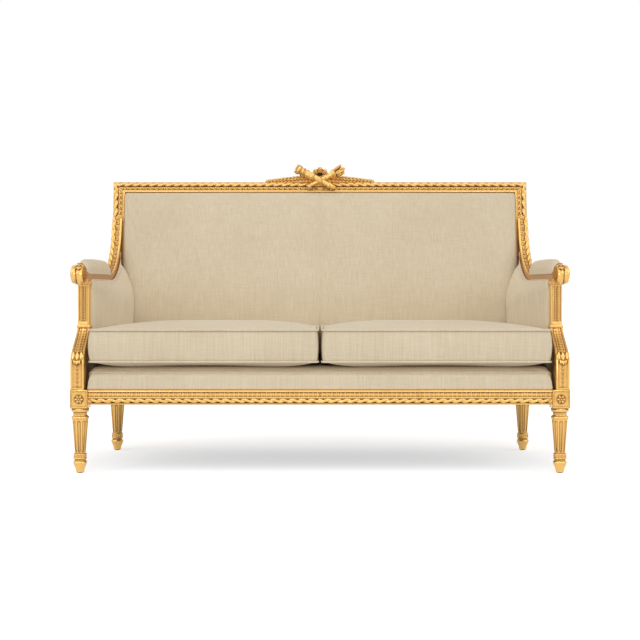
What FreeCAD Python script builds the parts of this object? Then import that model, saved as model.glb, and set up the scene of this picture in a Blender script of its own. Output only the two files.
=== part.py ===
"""Neoclassical two-seat settee: gilded, carved beech show-wood around an upholstered seat, back and arms,
with two loose box cushions.

Frame: +Z up, the front faces -Y, the origin on the floor under the centre of the settee's box.  Three local
frames are used.  "Side" has u outward and v rearward from the right front leg, along the tapering side rail.
"Back" has y rearward and z up the tilted back from the stile's foot.  The right-hand (+X) pieces are modelled
and mirrored to the left.
"""

import FreeCAD, Part
import math
import os
import Sketcher
from FreeCAD import Placement, Rotation, Vector
from types import SimpleNamespace

DIMENSIONS = {
    # plan of the frame: half distances between leg axes, and front to rear
    "front_leg_x": 791,
    "rear_leg_x": 764,
    "leg_spacing": 633,
    # turned legs, from the floor up
    "glide_height": 3,
    "glide_radius": 9,
    "glide_pin_radius": 2,
    "glide_pin_length": 16,
    "toe_radius": 12.5,
    "foot_radius": 22,
    "foot_height": 35,
    "foot_swell_radius": 70,
    "groove_radius": 18.5,
    "groove_height": 8,
    "ring_radius": 21.5,
    "ring_height": 18,
    "taper_bottom_radius": 17,
    "taper_top_radius": 26.8,
    "taper_height": 114,
    "collar_radius": 28.6,
    "collar_height": 9,
    "neck_radius": 23,
    "neck_height": 14,
    "torus_radius": 28.8,
    "torus_height": 13,
    "flute_count": 9,
    "flute_bottom_radius": 3.6,
    "flute_top_radius": 5.2,
    "flute_margin": 8,
    # leg blocks and seat rails
    "leg_block": 58,
    "leg_block_height": 60,
    "rail_height": 48,
    "rail_thickness": 30,
    "rail_recess": 9,
    "rail_bead": 7,
    "rail_band": 15,
    "rail_band_depth": 6,
    "rail_plain": 6,
    "rail_plain_depth": 3,
    "rail_rope": 16,
    "rail_rope_radius": 8.6,
    "rail_rope_depth": 7,
    "rail_foot_depth": 2,
    "tenon_thickness": 12,
    "tenon_height": 20,
    "tenon_length": 20,
    "tenon_rise": 6,
    "joint_clearance": 0.2,
    "stretcher_width": 34,
    "stretcher_drop": 3,
    # corner blocks, screwed inside the seat frame
    "corner_reach": 72,
    "corner_height": 34,
    "corner_lift": 2,
    "screw_radius": 2.2,
    "screw_head_radius": 4.5,
    "screw_head_height": 2.5,
    "screw_bite": 17,
    "screw_grip": 18,
    "screw_set_in": 44,
    "screw_rise": 19,
    # back frame, tilted about the seat frame's top
    "back_tilt": 5.3,
    "back_length": 743,
    "stile_width": 44,
    "stile_depth": 42,
    "stile_root": 24,
    "crest_height": 40,
    "crest_fillet": 8,
    "crest_band_depth": 4,
    "crest_rope": 19,
    "crest_rope_radius": 10,
    "crest_rope_depth": 7,
    "crest_tenon": 22,
    "lower_rail_rise": 120,
    "lower_rail_height": 45,
    "lower_rail_setback": 18,
    "lower_rail_thickness": 20,
    # arm supports: panelled block, swept console, fluted post
    "support_offset": 6,
    "panel_width": 44,
    "panel_height": 104,
    "panel_margin": 9,
    "panel_sinking": 3,
    "console_sweep": 92,
    "console_height": 97,
    "console_radius": 165,
    "post_width": 40,
    "post_height": 159,
    "post_flute_radius": 3.4,
    "post_flute_pitch": 11,
    "post_flute_count": 3,
    "post_flute_margin": 18,
    "support_tenon": 20,
    "support_tenon_length": 17,
    # arm rails and their scrolled ends
    "arm_offset": 4,
    "arm_width": 36,
    "arm_thickness": 28,
    "arm_front": 46,
    "arm_sweep_reach": 199,
    "arm_sweep_radius": 220,
    "arm_sweep_angle": 75,
    "arm_tail": 110,
    "arm_tenon_width": 16,
    "arm_tenon_height": 14,
    "scroll_radius": 34,
    "scroll_width": 54,
    "scroll_centre_v": 8,
    "scroll_centre_rise": 20,
    # carved crest: backing, quiver, torch, wreath, laurel sprays
    "backing_half_width": 34,
    "backing_rise": 24,
    "backing_front": 8,
    "backing_rear": 20,
    "emblem_lean": 27,
    "emblem_rise": 3,
    "emblem_set_out": 14,
    "quiver_top_length": 96,
    "quiver_bottom_length": 56,
    "quiver_mouth_radius": 12.5,
    "quiver_tip_radius": 8,
    "quiver_rim": 1.4,
    "quiver_rim_height": 9,
    "torch_top_length": 62,
    "torch_bottom_length": 50,
    "torch_mouth_radius": 12.5,
    "torch_tip_radius": 6.5,
    "flame_length": 42,
    "flame_tip_radius": 2.5,
    "knop_radius": 9,
    "wreath_radius": 24,
    "wreath_cord_radius": 5.5,
    "rose_radius": 8.5,
    "rose_count": 3,
    "rose_pitch": 45,
    "spray_gap": 2,
    "spray_length": 172,
    "spray_height": 25,
    "spray_tip_height": 5,
    "spray_thickness": 16,
    "spray_setback": 4,
    "spray_leaves": 7,
    "spray_leaf_radius": 14,
    # webbing and hessian
    "strap_width": 50,
    "strap_thickness": 2,
    "seat_strap_count": 9,
    "seat_strap_pitch": 150,
    "cross_strap_count": 4,
    "cross_strap_pitch": 128,
    "strap_landing": 15,
    "strap_side_landing": 14,
    "hessian_thickness": 1,
    "hessian_front": 54,
    "hessian_inset": 2,
    "back_strap_count": 9,
    "back_strap_pitch": 150,
    "back_cross_count": 3,
    "back_cross_pitch": 130,
    # fixed upholstery
    "soft_clearance": 0.3,
    "cover_thickness": 2.5,
    "deck_setback": 14,
    "deck_rise": 77.7,
    "deck_front_rise": 44,
    "deck_roll": 90,
    "deck_corner": 24,
    "deck_rear_drop": 12,
    "deck_rear_gap": 24,
    "deck_side_gap": 1,
    "skirt_overlap": 12,
    "back_bottom_rise": 84,
    "back_top_clearance": 1.5,
    "back_crown": 92,
    "back_edge": 70,
    "back_crown_rise": 230,
    "back_tuck": 10,
    "back_top_edge": 3,
    "back_top_crown": 9,
    "arm_pad_width": 46,
    "arm_pad_height": 51,
    "arm_pad_side": 25,
    "arm_pad_gap": 3,
    "inner_arm_front": 20,
    "inner_arm_rear": 82,
    "inner_arm_rear_gap": 74,
    "inner_arm_end_gap": 34,
    "inner_arm_shoulder": 34,
    "inner_arm_fall": 60,
    "inner_arm_lip": 2,
    "arm_board_face": 10,
    "arm_board_thickness": 6,
    "arm_board_rear_gap": 3,
    "outside_cover_thickness": 3,
    "outside_back_rise": 4.3,
    "dust_cover_thickness": 1,
    "dust_cover_margin": 3,
    # loose cushions
    "cushion_gap": 3,
    "cushion_setback": 3,
    "cushion_rear_gap": 96,
    "cushion_bottom_welt": 92,
    "cushion_top_welt": 196,
    "cushion_crown": 24,
    "cushion_belly": 13.7,
    "cushion_swell": 5,
    "cushion_draw_in": 2.5,
    "cushion_end_inset": 14,
    "cushion_side_gap": 2,
    "piping_radius": 3.5,
}


class Size:
    """A number that also knows the spreadsheet formula it comes from."""

    def __init__(self, number, formula):
        self.number = number
        self.formula = formula

    def joined(self, sign, other, number):
        return Size(number, f"({self.formula} {sign} {formula_of(other)})")

    def __add__(self, other):
        return self.joined("+", other, self.number + number_of(other))

    def __radd__(self, other):
        return self + other

    def __sub__(self, other):
        return self.joined("-", other, self.number - number_of(other))

    def __rsub__(self, other):
        return Size(number_of(other) - self.number, f"({formula_of(other)} - {self.formula})")

    def __mul__(self, other):
        return self.joined("*", other, self.number * number_of(other))

    def __rmul__(self, other):
        return self * other

    def __truediv__(self, other):
        return self.joined("/", other, self.number / number_of(other))

    def __rtruediv__(self, other):
        return Size(number_of(other) / self.number, f"({formula_of(other)} / {self.formula})")

    def __neg__(self):
        return Size(-self.number, f"(-1 * {self.formula})")


def number_of(size):
    return size.number if isinstance(size, Size) else float(size)


def formula_of(size):
    return size.formula if isinstance(size, Size) else repr(float(size))


def sine(angle):
    return Size(math.sin(math.radians(angle.number)), f"sin({angle.formula})")


def cosine(angle):
    return Size(math.cos(math.radians(angle.number)), f"cos({angle.formula})")


def arctangent(ratio):
    return Size(math.degrees(math.atan(ratio.number)), f"atan({ratio.formula})")


def square_root(size):
    return Size(math.sqrt(size.number), f"sqrt({size.formula})")


# The document and its spreadsheet: driving dimensions first, then the places worked out from them

doc = FreeCAD.newDocument("settee")
sheet = doc.addObject("Spreadsheet::Sheet", "Dims")
for row, (alias, value) in enumerate(DIMENSIONS.items(), start=1):
    sheet.set(f"A{row}", alias)
    sheet.set(f"B{row}", str(value))
    sheet.setAlias(f"B{row}", alias)
doc.recompute()
d = SimpleNamespace(**{alias: Size(float(sheet.get(alias)), f"Dims.{alias}") for alias in DIMENSIONS})


def derive(alias, size):
    row = len(vars(d)) + 1
    sheet.set(f"A{row}", alias)
    sheet.set(f"B{row}", "=" + size.formula.replace("Dims.", ""))
    sheet.setAlias(f"B{row}", alias)
    setattr(d, alias, Size(size.number, f"Dims.{alias}"))


derive("skew", arctangent((d.front_leg_x - d.rear_leg_x) / d.leg_spacing))
derive("side_length", d.leg_spacing / cosine(d.skew))
derive("half_block", d.leg_block / 2)
derive("overall_depth", d.half_block + d.leg_spacing - d.stile_depth / 2 + d.stile_depth * cosine(d.back_tilt)
       + d.back_length * sine(d.back_tilt))
derive("front_plane", -d.overall_depth / 2)
derive("front_y", d.front_plane + d.half_block)
derive("rear_y", d.front_y + d.leg_spacing)
derive("back_y", d.rear_y - d.stile_depth / 2)
derive("ring_z", d.glide_height + d.foot_height + d.groove_height)
derive("taper_z", d.ring_z + d.ring_height)
derive("collar_z", d.taper_z + d.taper_height)
derive("leg_height", d.collar_z + d.collar_height + d.neck_height + d.torus_height)
derive("seat_top", d.leg_height + d.leg_block_height)
derive("rail_bottom", d.seat_top - d.rail_height)
derive("console_base", d.seat_top + d.panel_height)
derive("post_base", d.console_base + d.console_height)
derive("arm_bottom", d.post_base + d.post_height)
derive("arm_top", d.arm_bottom + d.arm_thickness)
derive("post_rear", d.console_sweep + d.post_width / 2)
derive("stile_top", d.back_length - d.crest_height)
derive("stile_inner", d.rear_leg_x - d.stile_width / 2)
derive("front_rail_back", d.front_plane + d.rail_recess + d.rail_thickness)
derive("rear_rail_front", d.rear_y + d.half_block - d.rail_recess - d.rail_thickness)
derive("side_rail_outer", d.half_block - d.rail_recess)
derive("side_rail_inner", d.side_rail_outer - d.rail_thickness)
derive("webbing_top", d.seat_top + 2 * d.strap_thickness)
derive("stuffing_z", d.webbing_top + d.hessian_thickness + d.soft_clearance)
derive("arm_sweep_start", d.side_length - d.arm_sweep_reach)
derive("arm_sweep_z", d.arm_bottom + d.arm_thickness / 2 + d.arm_sweep_radius)
derive("arm_low_radius", d.arm_sweep_radius + d.arm_thickness / 2)
doc.recompute()


# Helpers: binding sizes, the three frames, bodies, sketches and booleans


def bind(feature, **sizes):
    for name, size in sizes.items():
        setattr(feature, name, number_of(size))
        if isinstance(size, Size):
            feature.setExpression(name, size.formula)


def put(feature, x, y, z, axis=Vector(0, 0, 1), angle=0.0):
    base = Vector(number_of(x), number_of(y), number_of(z))
    feature.Placement = Placement(base, Rotation(axis, number_of(angle)))
    for name, size in (("Base.x", x), ("Base.y", y), ("Base.z", z), ("Rotation.Angle", angle)):
        if isinstance(size, Size):
            feature.setExpression(f"Placement.{name}", size.formula)
    return feature


def put_side(feature, u, v, z):
    x = d.front_leg_x + u * cosine(d.skew) - v * sine(d.skew)
    y = d.front_y + u * sine(d.skew) + v * cosine(d.skew)
    return put(feature, x, y, z, Vector(0, 0, 1), d.skew)


def back_place(x, y, z):
    """A place in the back frame, as the x, y and z of the whole settee."""
    depth = d.back_y + y * cosine(d.back_tilt) + z * sine(d.back_tilt)
    height = d.seat_top + z * cosine(d.back_tilt) - y * sine(d.back_tilt)
    return x, depth, height


def put_back(feature, x, y, z, turn=0.0):
    return put(feature, *back_place(x, y, z), Vector(1, 0, 0), turn - d.back_tilt)


def box(name, size, corner, placer=put):
    feature = doc.addObject("Part::Box", name)
    bind(feature, Length=size[0], Width=size[1], Height=size[2])
    return placer(feature, *corner)


def grown_box(name, size, corner, grow, placer=put):
    larger = [length + 2 * grow for length in size]
    lower = [place - grow for place in corner]
    return box(name, larger, lower, placer)


def cylinder(name, radius, height, place, axis=Vector(0, 0, 1), angle=0.0):
    feature = doc.addObject("Part::Cylinder", name)
    bind(feature, Radius=radius, Height=height)
    return put(feature, *place, axis, angle)


def fuse(name, *features):
    feature = doc.addObject("Part::MultiFuse", name)
    feature.Shapes = list(features)
    return feature


def cut(name, base, *tools):
    feature = doc.addObject("Part::Cut", name)
    feature.Base = base
    feature.Tool = tools[0] if len(tools) == 1 else group(f"{name}_tools", *tools)
    return feature


def group(name, *features):
    feature = doc.addObject("Part::Compound", name)
    feature.Links = list(features)
    return feature


def mirror(name, source):
    feature = doc.addObject("Part::Mirroring", name)
    feature.Source = source
    feature.Normal = Vector(1, 0, 0)
    return feature


def new_body(name):
    return doc.addObject("PartDesign::Body", name)


def datum(body, role):
    return next(item for item in body.Origin.OriginFeatures if item.Role == role)


def pin_point(sketch, geometry, end, place, axis_name, axis):
    if number_of(place) == 0:
        sketch.addConstraint(Sketcher.Constraint("PointOnObject", geometry, end, axis))
        return
    rule = Sketcher.Constraint(axis_name, -1, 1, geometry, end, number_of(place))
    index = sketch.addConstraint(rule)
    if isinstance(place, Size):
        sketch.setExpression(f"Constraints[{index}]", place.formula)


def outline(body, plane, path):
    """A closed sketch through path points (a, b), or (a, b, radius, turn) for an arc that ends there."""
    sketch = body.newObject("Sketcher::SketchObject", f"{body.Name}_outline")
    sketch.AttachmentSupport = [(datum(body, plane), "")]
    sketch.MapMode = "FlatFace"
    pieces = []
    for start, end in zip(path, path[1:] + path[:1]):
        first = Vector(number_of(start[0]), number_of(start[1]))
        last = Vector(number_of(end[0]), number_of(end[1]))
        if len(end) == 2:
            pieces.append((sketch.addGeometry(Part.LineSegment(first, last), False), 1, 2))
            continue
        radius, turn = number_of(end[2]), end[3]
        chord = last - first
        normal = Vector(-chord.y, chord.x) * (turn / chord.Length)
        centre = (first + last) * 0.5 + normal * math.sqrt(radius**2 - chord.Length**2 / 4)
        angles = [math.atan2(point.y - centre.y, point.x - centre.x) for point in (first, last)[::turn]]
        circle = Part.Circle(centre, Vector(0, 0, 1), radius)
        geometry = sketch.addGeometry(Part.ArcOfCircle(circle, *angles), False)
        pieces.append((geometry, 1, 2)[:1] + (1, 2)[::turn])
        index = sketch.addConstraint(Sketcher.Constraint("Radius", geometry, radius))
        sketch.setExpression(f"Constraints[{index}]", formula_of(end[2]))
    for (geometry, near, far), (following, begin, _) in zip(pieces, pieces[1:] + pieces[:1]):
        sketch.addConstraint(Sketcher.Constraint("Coincident", geometry, far, following, begin))
    for (geometry, near, _), point in zip(pieces, path):
        pin_point(sketch, geometry, near, point[0], "DistanceX", -2)
        pin_point(sketch, geometry, near, point[1], "DistanceY", -1)
    return sketch


def pad(body, plane, path, length, symmetric=True):
    feature = body.newObject("PartDesign::Pad", f"{body.Name}_pad")
    feature.Profile = outline(body, plane, path)
    feature.SideType = "Symmetric" if symmetric else "One side"
    bind(feature, Length=length)
    return feature


def body_box(body, kind, label, size, corner):
    feature = body.newObject(f"PartDesign::{kind}Box", f"{body.Name}_{label}")
    bind(feature, Length=size[0], Width=size[1], Height=size[2])
    return put(feature, *corner)


# Turned legs: one revolved profile with tapered flutes, under a square block


def turned_leg(name):
    body = new_body(name)
    foot_z = d.glide_height + d.foot_height
    neck_z = d.collar_z + d.collar_height
    torus_z = neck_z + d.neck_height
    profile = [
        (0, d.glide_height),
        (d.toe_radius, d.glide_height),
        (d.foot_radius, foot_z, d.foot_swell_radius, 1),
        (d.groove_radius, foot_z + d.groove_height / 2),
        (d.groove_radius, d.ring_z),
        (d.ring_radius, d.ring_z),
        (d.ring_radius, d.taper_z),
        (d.taper_bottom_radius, d.taper_z),
        (d.taper_top_radius, d.collar_z),
        (d.collar_radius, d.collar_z),
        (d.collar_radius, neck_z),
        (d.neck_radius, neck_z + d.neck_height / 2),
        (d.neck_radius, torus_z),
        (d.torus_radius, torus_z),
        (d.torus_radius, d.leg_height),
        (0, d.leg_height),
    ]
    sketch = outline(body, "XZ_Plane", profile)
    turning = body.newObject("PartDesign::Revolution", f"{name}_turning")
    turning.Profile = sketch
    turning.ReferenceAxis = (sketch, ["V_Axis"])
    turning.Angle = 360
    slope = (d.taper_top_radius - d.taper_bottom_radius) / d.taper_height
    flute = body.newObject("PartDesign::SubtractiveCone", f"{name}_flute")
    bind(flute, Radius1=d.flute_bottom_radius, Radius2=d.flute_top_radius,
         Height=d.taper_height - 2 * d.flute_margin)
    put(flute, d.taper_bottom_radius + slope * d.flute_margin, 0, d.taper_z + d.flute_margin,
        Vector(0, 1, 0), arctangent(slope))
    flutes = body.newObject("PartDesign::PolarPattern", f"{name}_flutes")
    flutes.Originals = [flute]
    flutes.Axis = (datum(body, "Z_Axis"), [""])
    flutes.Angle = 360
    flutes.setExpression("Occurrences", d.flute_count.formula)
    body.Tip = flutes
    body_box(body, "Additive", "block", (d.leg_block, d.leg_block, d.leg_block_height),
             (-d.half_block, -d.half_block, d.leg_height))
    return body


front_leg_blank = put(turned_leg("front_leg_blank"), d.front_leg_x, d.front_y, 0)
rear_leg_blank = put(turned_leg("rear_leg_blank"), d.rear_leg_x, d.rear_y, 0)

# Foot glides: a disc on a pin under each leg


def foot_glide(name, x, y):
    disc = cylinder(f"{name}_disc", d.glide_radius, d.glide_height, (x, y, 0))
    pin = cylinder(f"{name}_pin", d.glide_pin_radius, d.glide_pin_length, (x, y, d.glide_height))
    return fuse(name, disc, pin), pin


front_glide, front_glide_pin = foot_glide("front_glide", d.front_leg_x, d.front_y)
rear_glide, rear_glide_pin = foot_glide("rear_glide", d.rear_leg_x, d.rear_y)
group("foot_glides", front_glide, rear_glide, mirror("front_glide_left", front_glide),
      mirror("rear_glide_left", rear_glide))

# Corner blocks behind each leg, with a screw into either rail.  The heads sit in counterbores.


def screw(name, place, axis, angle):
    shank = cylinder(f"{name}_shank", d.screw_radius, d.screw_grip + d.screw_bite, place, axis, angle)
    head = cylinder(f"{name}_head", d.screw_head_radius, d.screw_head_height, place, axis, angle)
    bore = cylinder(f"{name}_bore", d.screw_head_radius + d.joint_clearance, d.corner_reach, place, axis,
                    angle + 180)
    hole = fuse(f"{name}_hole", shank, head, bore)
    return SimpleNamespace(whole=fuse(name, shank, head), shank=shank, hole=hole)


def side_x(y):
    """X of the side rail's inner face at a depth y."""
    v = (y - d.front_y) / cosine(d.skew) - d.side_rail_inner * sine(d.skew) / cosine(d.skew)
    return d.front_leg_x + d.side_rail_inner * cosine(d.skew) - v * sine(d.skew)


def corner_block(name, leg_x, leg_y, rail_face, forward, screws):
    """forward is 1 where the block reaches rearward from the front rail, -1 where it reaches forward."""
    block_x = leg_x - d.half_block
    block_y = leg_y + forward * d.half_block
    far_y = block_y + forward * d.corner_reach
    path = [(block_x, rail_face), (block_x - d.corner_reach, rail_face), (side_x(far_y), far_y),
            (side_x(block_y), block_y), (block_x, block_y)]
    body = new_body(f"{name}_blank")
    pad(body, "XY_Plane", path, d.corner_height, symmetric=False)
    put(body, 0, 0, d.rail_bottom + d.corner_lift)
    return cut(name, body, *[item.hole for item in screws])


screw_z = d.rail_bottom + d.screw_rise
front_rail_screw = screw("front_rail_screw", (d.front_leg_x - d.half_block - d.screw_set_in / 2,
                         d.front_rail_back + d.screw_grip, screw_z), Vector(1, 0, 0), Size(90, "90"))
rear_rail_screw = screw("rear_rail_screw", (d.rear_leg_x - d.half_block - d.screw_set_in / 2,
                        d.rear_rail_front - d.screw_grip, screw_z), Vector(1, 0, 0), Size(-90, "-90"))
side_front_y = d.front_y + d.half_block + d.screw_set_in / 2
side_front_screw = screw("side_front_screw", (side_x(side_front_y) - d.screw_grip, side_front_y, screw_z),
                         Vector(0, 1, 0), Size(90, "90"))
side_rear_y = d.rear_y - d.half_block - d.screw_set_in / 2
side_rear_screw = screw("side_rear_screw", (side_x(side_rear_y) - d.screw_grip, side_rear_y, screw_z),
                        Vector(0, 1, 0), Size(90, "90"))
front_corner = corner_block("front_corner", d.front_leg_x, d.front_y, d.front_rail_back, 1,
                            (front_rail_screw, side_front_screw))
rear_corner = corner_block("rear_corner", d.rear_leg_x, d.rear_y, d.rear_rail_front, -1,
                           (rear_rail_screw, side_rear_screw))
group("corner_blocks", front_corner, rear_corner, mirror("front_corner_left", front_corner),
      mirror("rear_corner_left", rear_corner))
screws = (front_rail_screw, rear_rail_screw, side_front_screw, side_rear_screw)
group("corner_screws", *[item.whole for item in screws],
      *[mirror(f"{item.whole.Name}_left", item.whole) for item in screws])

# Tenons of the seat frame.  Each is made twice: its own size on the rail, and with clearance as the mortise.

tenon_z = d.rail_bottom + d.tenon_rise


def front_tenon(name, grow):
    return grown_box(name, (d.tenon_length * 2, d.tenon_thickness, d.tenon_height),
                     (d.front_leg_x - d.half_block - d.tenon_length,
                      d.front_rail_back - (d.rail_thickness + d.tenon_thickness) / 2, tenon_z), grow)


def rear_tenon(name, grow):
    return grown_box(name, (d.tenon_length * 2, d.tenon_thickness, d.tenon_height),
                     (d.rear_leg_x - d.half_block - d.tenon_length,
                      d.rear_rail_front + (d.rail_thickness - d.tenon_thickness) / 2, tenon_z), grow)


def side_tenon(name, grow):
    return grown_box(name, (d.tenon_thickness, d.side_length - d.leg_block + 2 * d.tenon_length, d.tenon_height),
                     (d.side_rail_inner + (d.rail_thickness - d.tenon_thickness) / 2,
                      d.half_block - d.tenon_length, tenon_z), grow, put_side)


def stretcher_tenon(name, grow):
    return grown_box(name, (d.tenon_thickness, d.rear_rail_front - d.front_rail_back + d.tenon_length,
                            d.tenon_height),
                     (-d.tenon_thickness / 2, d.front_rail_back - d.tenon_length / 2, tenon_z), grow)


def support_tenon(name, grow):
    return grown_box(name, (d.support_tenon, d.support_tenon, d.support_tenon_length * 2),
                     (d.support_offset - d.support_tenon / 2, -d.support_tenon / 2,
                      d.seat_top - d.support_tenon_length), grow, put_side)


def post_tenon(name, grow):
    return grown_box(name, (d.support_tenon, d.support_tenon, d.support_tenon_length * 2),
                     (d.support_offset - d.support_tenon / 2, d.console_sweep - d.support_tenon / 2,
                      d.arm_bottom - d.support_tenon_length), grow, put_side)


def scroll_tenon(name, grow):
    return grown_box(name, (d.arm_tenon_width, d.tenon_length * 2, d.arm_tenon_height),
                     (d.arm_offset - d.arm_tenon_width / 2, d.arm_front - d.tenon_length,
                      d.arm_bottom + (d.arm_thickness - d.arm_tenon_height) / 2), grow, put_side)


def stile_tenon(name, grow):
    return grown_box(name, (d.support_tenon, d.tenon_thickness, d.crest_tenon * 2),
                     (d.rear_leg_x - d.support_tenon / 2, (d.stile_depth - d.tenon_thickness) / 2,
                      d.stile_top - d.crest_tenon), grow, put_back)


def lower_tenon(name, grow):
    return grown_box(name, (d.tenon_length * 2, d.tenon_thickness, d.tenon_height),
                     (d.stile_inner - d.tenon_length,
                      d.lower_rail_setback + (d.lower_rail_thickness - d.tenon_thickness) / 2,
                      d.lower_rail_rise + (d.lower_rail_height - d.tenon_height) / 2), grow, put_back)


# Front legs, with mortises for two rails and the arm support

front_leg_right = cut("front_leg_right", front_leg_blank, front_tenon("front_mortise", d.joint_clearance),
                      side_tenon("side_front_mortise", d.joint_clearance),
                      support_tenon("support_mortise", d.joint_clearance), front_glide_pin)
mirror("front_leg_left", front_leg_right)

# Seat rails.  The front and side rails carry a bead, a sunk band and a rope moulding.


def rail_profile(face, inward):
    """Section through a moulded rail: face is the outermost line, inward the sign of the way to its back."""
    band_top = d.seat_top - d.rail_bead
    band_low = band_top - d.rail_band
    rope_top = band_low - d.rail_plain
    rope_low = rope_top - d.rail_rope
    back = face + inward * d.rail_thickness
    return [
        (back, d.rail_bottom),
        (back, d.seat_top),
        (face, d.seat_top),
        (face, band_top),
        (face + inward * d.rail_band_depth, band_top),
        (face + inward * d.rail_band_depth, band_low),
        (face + inward * d.rail_plain_depth, band_low),
        (face + inward * d.rail_plain_depth, rope_top),
        (face + inward * d.rail_rope_depth, rope_top),
        (face + inward * d.rail_rope_depth, rope_low, d.rail_rope_radius, inward),
        (face + inward * d.rail_foot_depth, rope_low),
        (face + inward * d.rail_foot_depth, d.rail_bottom),
    ]


front_rail_blank = new_body("front_rail_blank")
pad(front_rail_blank, "YZ_Plane", rail_profile(d.front_plane + d.rail_recess, 1),
    2 * (d.front_leg_x - d.half_block))
front_tenon_right = front_tenon("front_tenon_right", 0)
front_rail_whole = fuse("front_rail_whole", front_rail_blank, front_tenon_right,
                        mirror("front_tenon_left", front_tenon_right))
stretcher_mortise = stretcher_tenon("stretcher_mortise", d.joint_clearance)
cut("front_seat_rail", front_rail_whole, stretcher_mortise, front_rail_screw.shank,
    mirror("front_rail_hole_left", front_rail_screw.shank))

rear_rail_half = d.rear_leg_x - d.half_block
rear_rail_blank = box("rear_rail_blank", (2 * rear_rail_half, d.rail_thickness, d.rail_height),
                      (-rear_rail_half, d.rear_rail_front, d.rail_bottom))
rear_tenon_right = rear_tenon("rear_tenon_right", 0)
rear_rail_whole = fuse("rear_rail_whole", rear_rail_blank, rear_tenon_right,
                       mirror("rear_tenon_left", rear_tenon_right))
cut("rear_seat_rail", rear_rail_whole, stretcher_mortise, rear_rail_screw.shank,
    mirror("rear_rail_hole_left", rear_rail_screw.shank))

side_rail_blank = new_body("side_rail_blank")
pad(side_rail_blank, "XZ_Plane", rail_profile(d.side_rail_outer, -1), d.side_length - d.half_block)
put_side(side_rail_blank, 0, d.side_length / 2, 0)
side_rail_shoulders = cut("side_rail_shoulders", side_rail_blank,
                          box("front_shoulder", (d.leg_block, d.leg_block, d.leg_block_height),
                              (d.front_leg_x - d.half_block, d.front_y - d.half_block, d.leg_height)),
                          box("rear_shoulder", (d.leg_block, d.leg_block, d.leg_block_height),
                              (d.rear_leg_x - d.half_block, d.rear_y - d.half_block, d.leg_height)))
side_rail_whole = fuse("side_rail_whole", side_rail_shoulders, side_tenon("side_tenon_right", 0))
side_seat_rail_right = cut("side_seat_rail_right", side_rail_whole, side_front_screw.shank,
                           side_rear_screw.shank)
mirror("side_seat_rail_left", side_seat_rail_right)

stretcher_blank = box("stretcher_blank", (d.stretcher_width, d.rear_rail_front - d.front_rail_back,
                                          d.rail_height - 2 * d.stretcher_drop),
                      (-d.stretcher_width / 2, d.front_rail_back, d.rail_bottom + d.stretcher_drop))
fuse("centre_stretcher", stretcher_blank, stretcher_tenon("stretcher_stub", 0))

# Back posts: rear leg and tilted, moulded stile in one piece


def stile_profile():
    inner, outer = -d.stile_width / 2, d.stile_width / 2
    rope = outer - d.crest_rope
    band = inner + d.crest_fillet
    return [
        (outer, d.stile_depth),
        (inner, d.stile_depth),
        (inner, 0),
        (band, 0),
        (band, d.crest_band_depth),
        (rope, d.crest_band_depth),
        (rope, d.crest_rope_depth),
        (outer, d.crest_rope_depth, d.crest_rope_radius, 1),
    ]


stile = new_body("stile")
pad(stile, "XY_Plane", stile_profile(), d.stile_root + d.stile_top, symmetric=False)
put_back(stile, d.rear_leg_x, 0, -d.stile_root)
post_whole = fuse("post_whole", rear_leg_blank, stile, stile_tenon("stile_tenon_right", 0))
back_post_right = cut("back_post_right", post_whole, rear_tenon("rear_mortise", d.joint_clearance),
                      side_tenon("side_rear_mortise", d.joint_clearance),
                      lower_tenon("lower_mortise", d.joint_clearance), rear_glide_pin)
mirror("back_post_left", back_post_right)

# Crest rail over the stiles, and the plain lower rail between them

crest_blank = new_body("crest_blank")
crest_rope_low = d.back_length - d.crest_rope
pad(crest_blank, "YZ_Plane", [
    (d.stile_depth, d.stile_top),
    (d.stile_depth, d.back_length),
    (d.crest_rope_depth, d.back_length),
    (d.crest_rope_depth, crest_rope_low, d.crest_rope_radius, 1),
    (d.crest_band_depth, crest_rope_low),
    (d.crest_band_depth, d.stile_top + d.crest_fillet),
    (0, d.stile_top + d.crest_fillet),
    (0, d.stile_top),
], 2 * d.rear_leg_x + d.stile_width)
put_back(crest_blank, 0, 0, 0)
crest_mortise = stile_tenon("crest_mortise", d.joint_clearance)
cut("crest_rail", crest_blank, crest_mortise, mirror("crest_mortise_left", crest_mortise))

lower_blank = box("lower_blank", (2 * d.stile_inner, d.lower_rail_thickness, d.lower_rail_height),
                  (-d.stile_inner, d.lower_rail_setback, d.lower_rail_rise), put_back)
lower_tenon_right = lower_tenon("lower_tenon_right", 0)
fuse("lower_back_rail", lower_blank, lower_tenon_right, mirror("lower_tenon_left", lower_tenon_right))

# Arm supports: sunk-panel block, console that sweeps rearward, fluted post

support = new_body("support")
half_panel = d.panel_width / 2
half_post = d.post_width / 2
pad(support, "YZ_Plane", [
    (-half_panel, d.console_base, d.console_radius, -1),
    (half_panel, d.console_base),
    (d.post_rear, d.post_base, d.console_radius, 1),
    (d.console_sweep - half_post, d.post_base),
], d.post_width)
body_box(support, "Additive", "panel_block", (d.panel_width, d.panel_width, d.panel_height),
         (-half_panel, -half_panel, d.seat_top))
body_box(support, "Additive", "post", (d.post_width, d.post_width, d.post_height),
         (-half_post, d.console_sweep - half_post, d.post_base))
body_box(support, "Subtractive", "sinking",
         (d.panel_width - 2 * d.panel_margin, d.panel_sinking, d.panel_height - 2 * d.panel_margin),
         (d.panel_margin - half_panel, -half_panel, d.seat_top + d.panel_margin))
post_flute = support.newObject("PartDesign::SubtractiveCylinder", "post_flute")
bind(post_flute, Radius=d.post_flute_radius, Height=d.post_height - 2 * d.post_flute_margin)
flute_span = d.post_flute_pitch * (d.post_flute_count - 1)
put(post_flute, -flute_span / 2, d.console_sweep - half_post, d.post_base + d.post_flute_margin)
post_flutes = support.newObject("PartDesign::LinearPattern", "post_flutes")
post_flutes.Originals = [post_flute]
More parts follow.
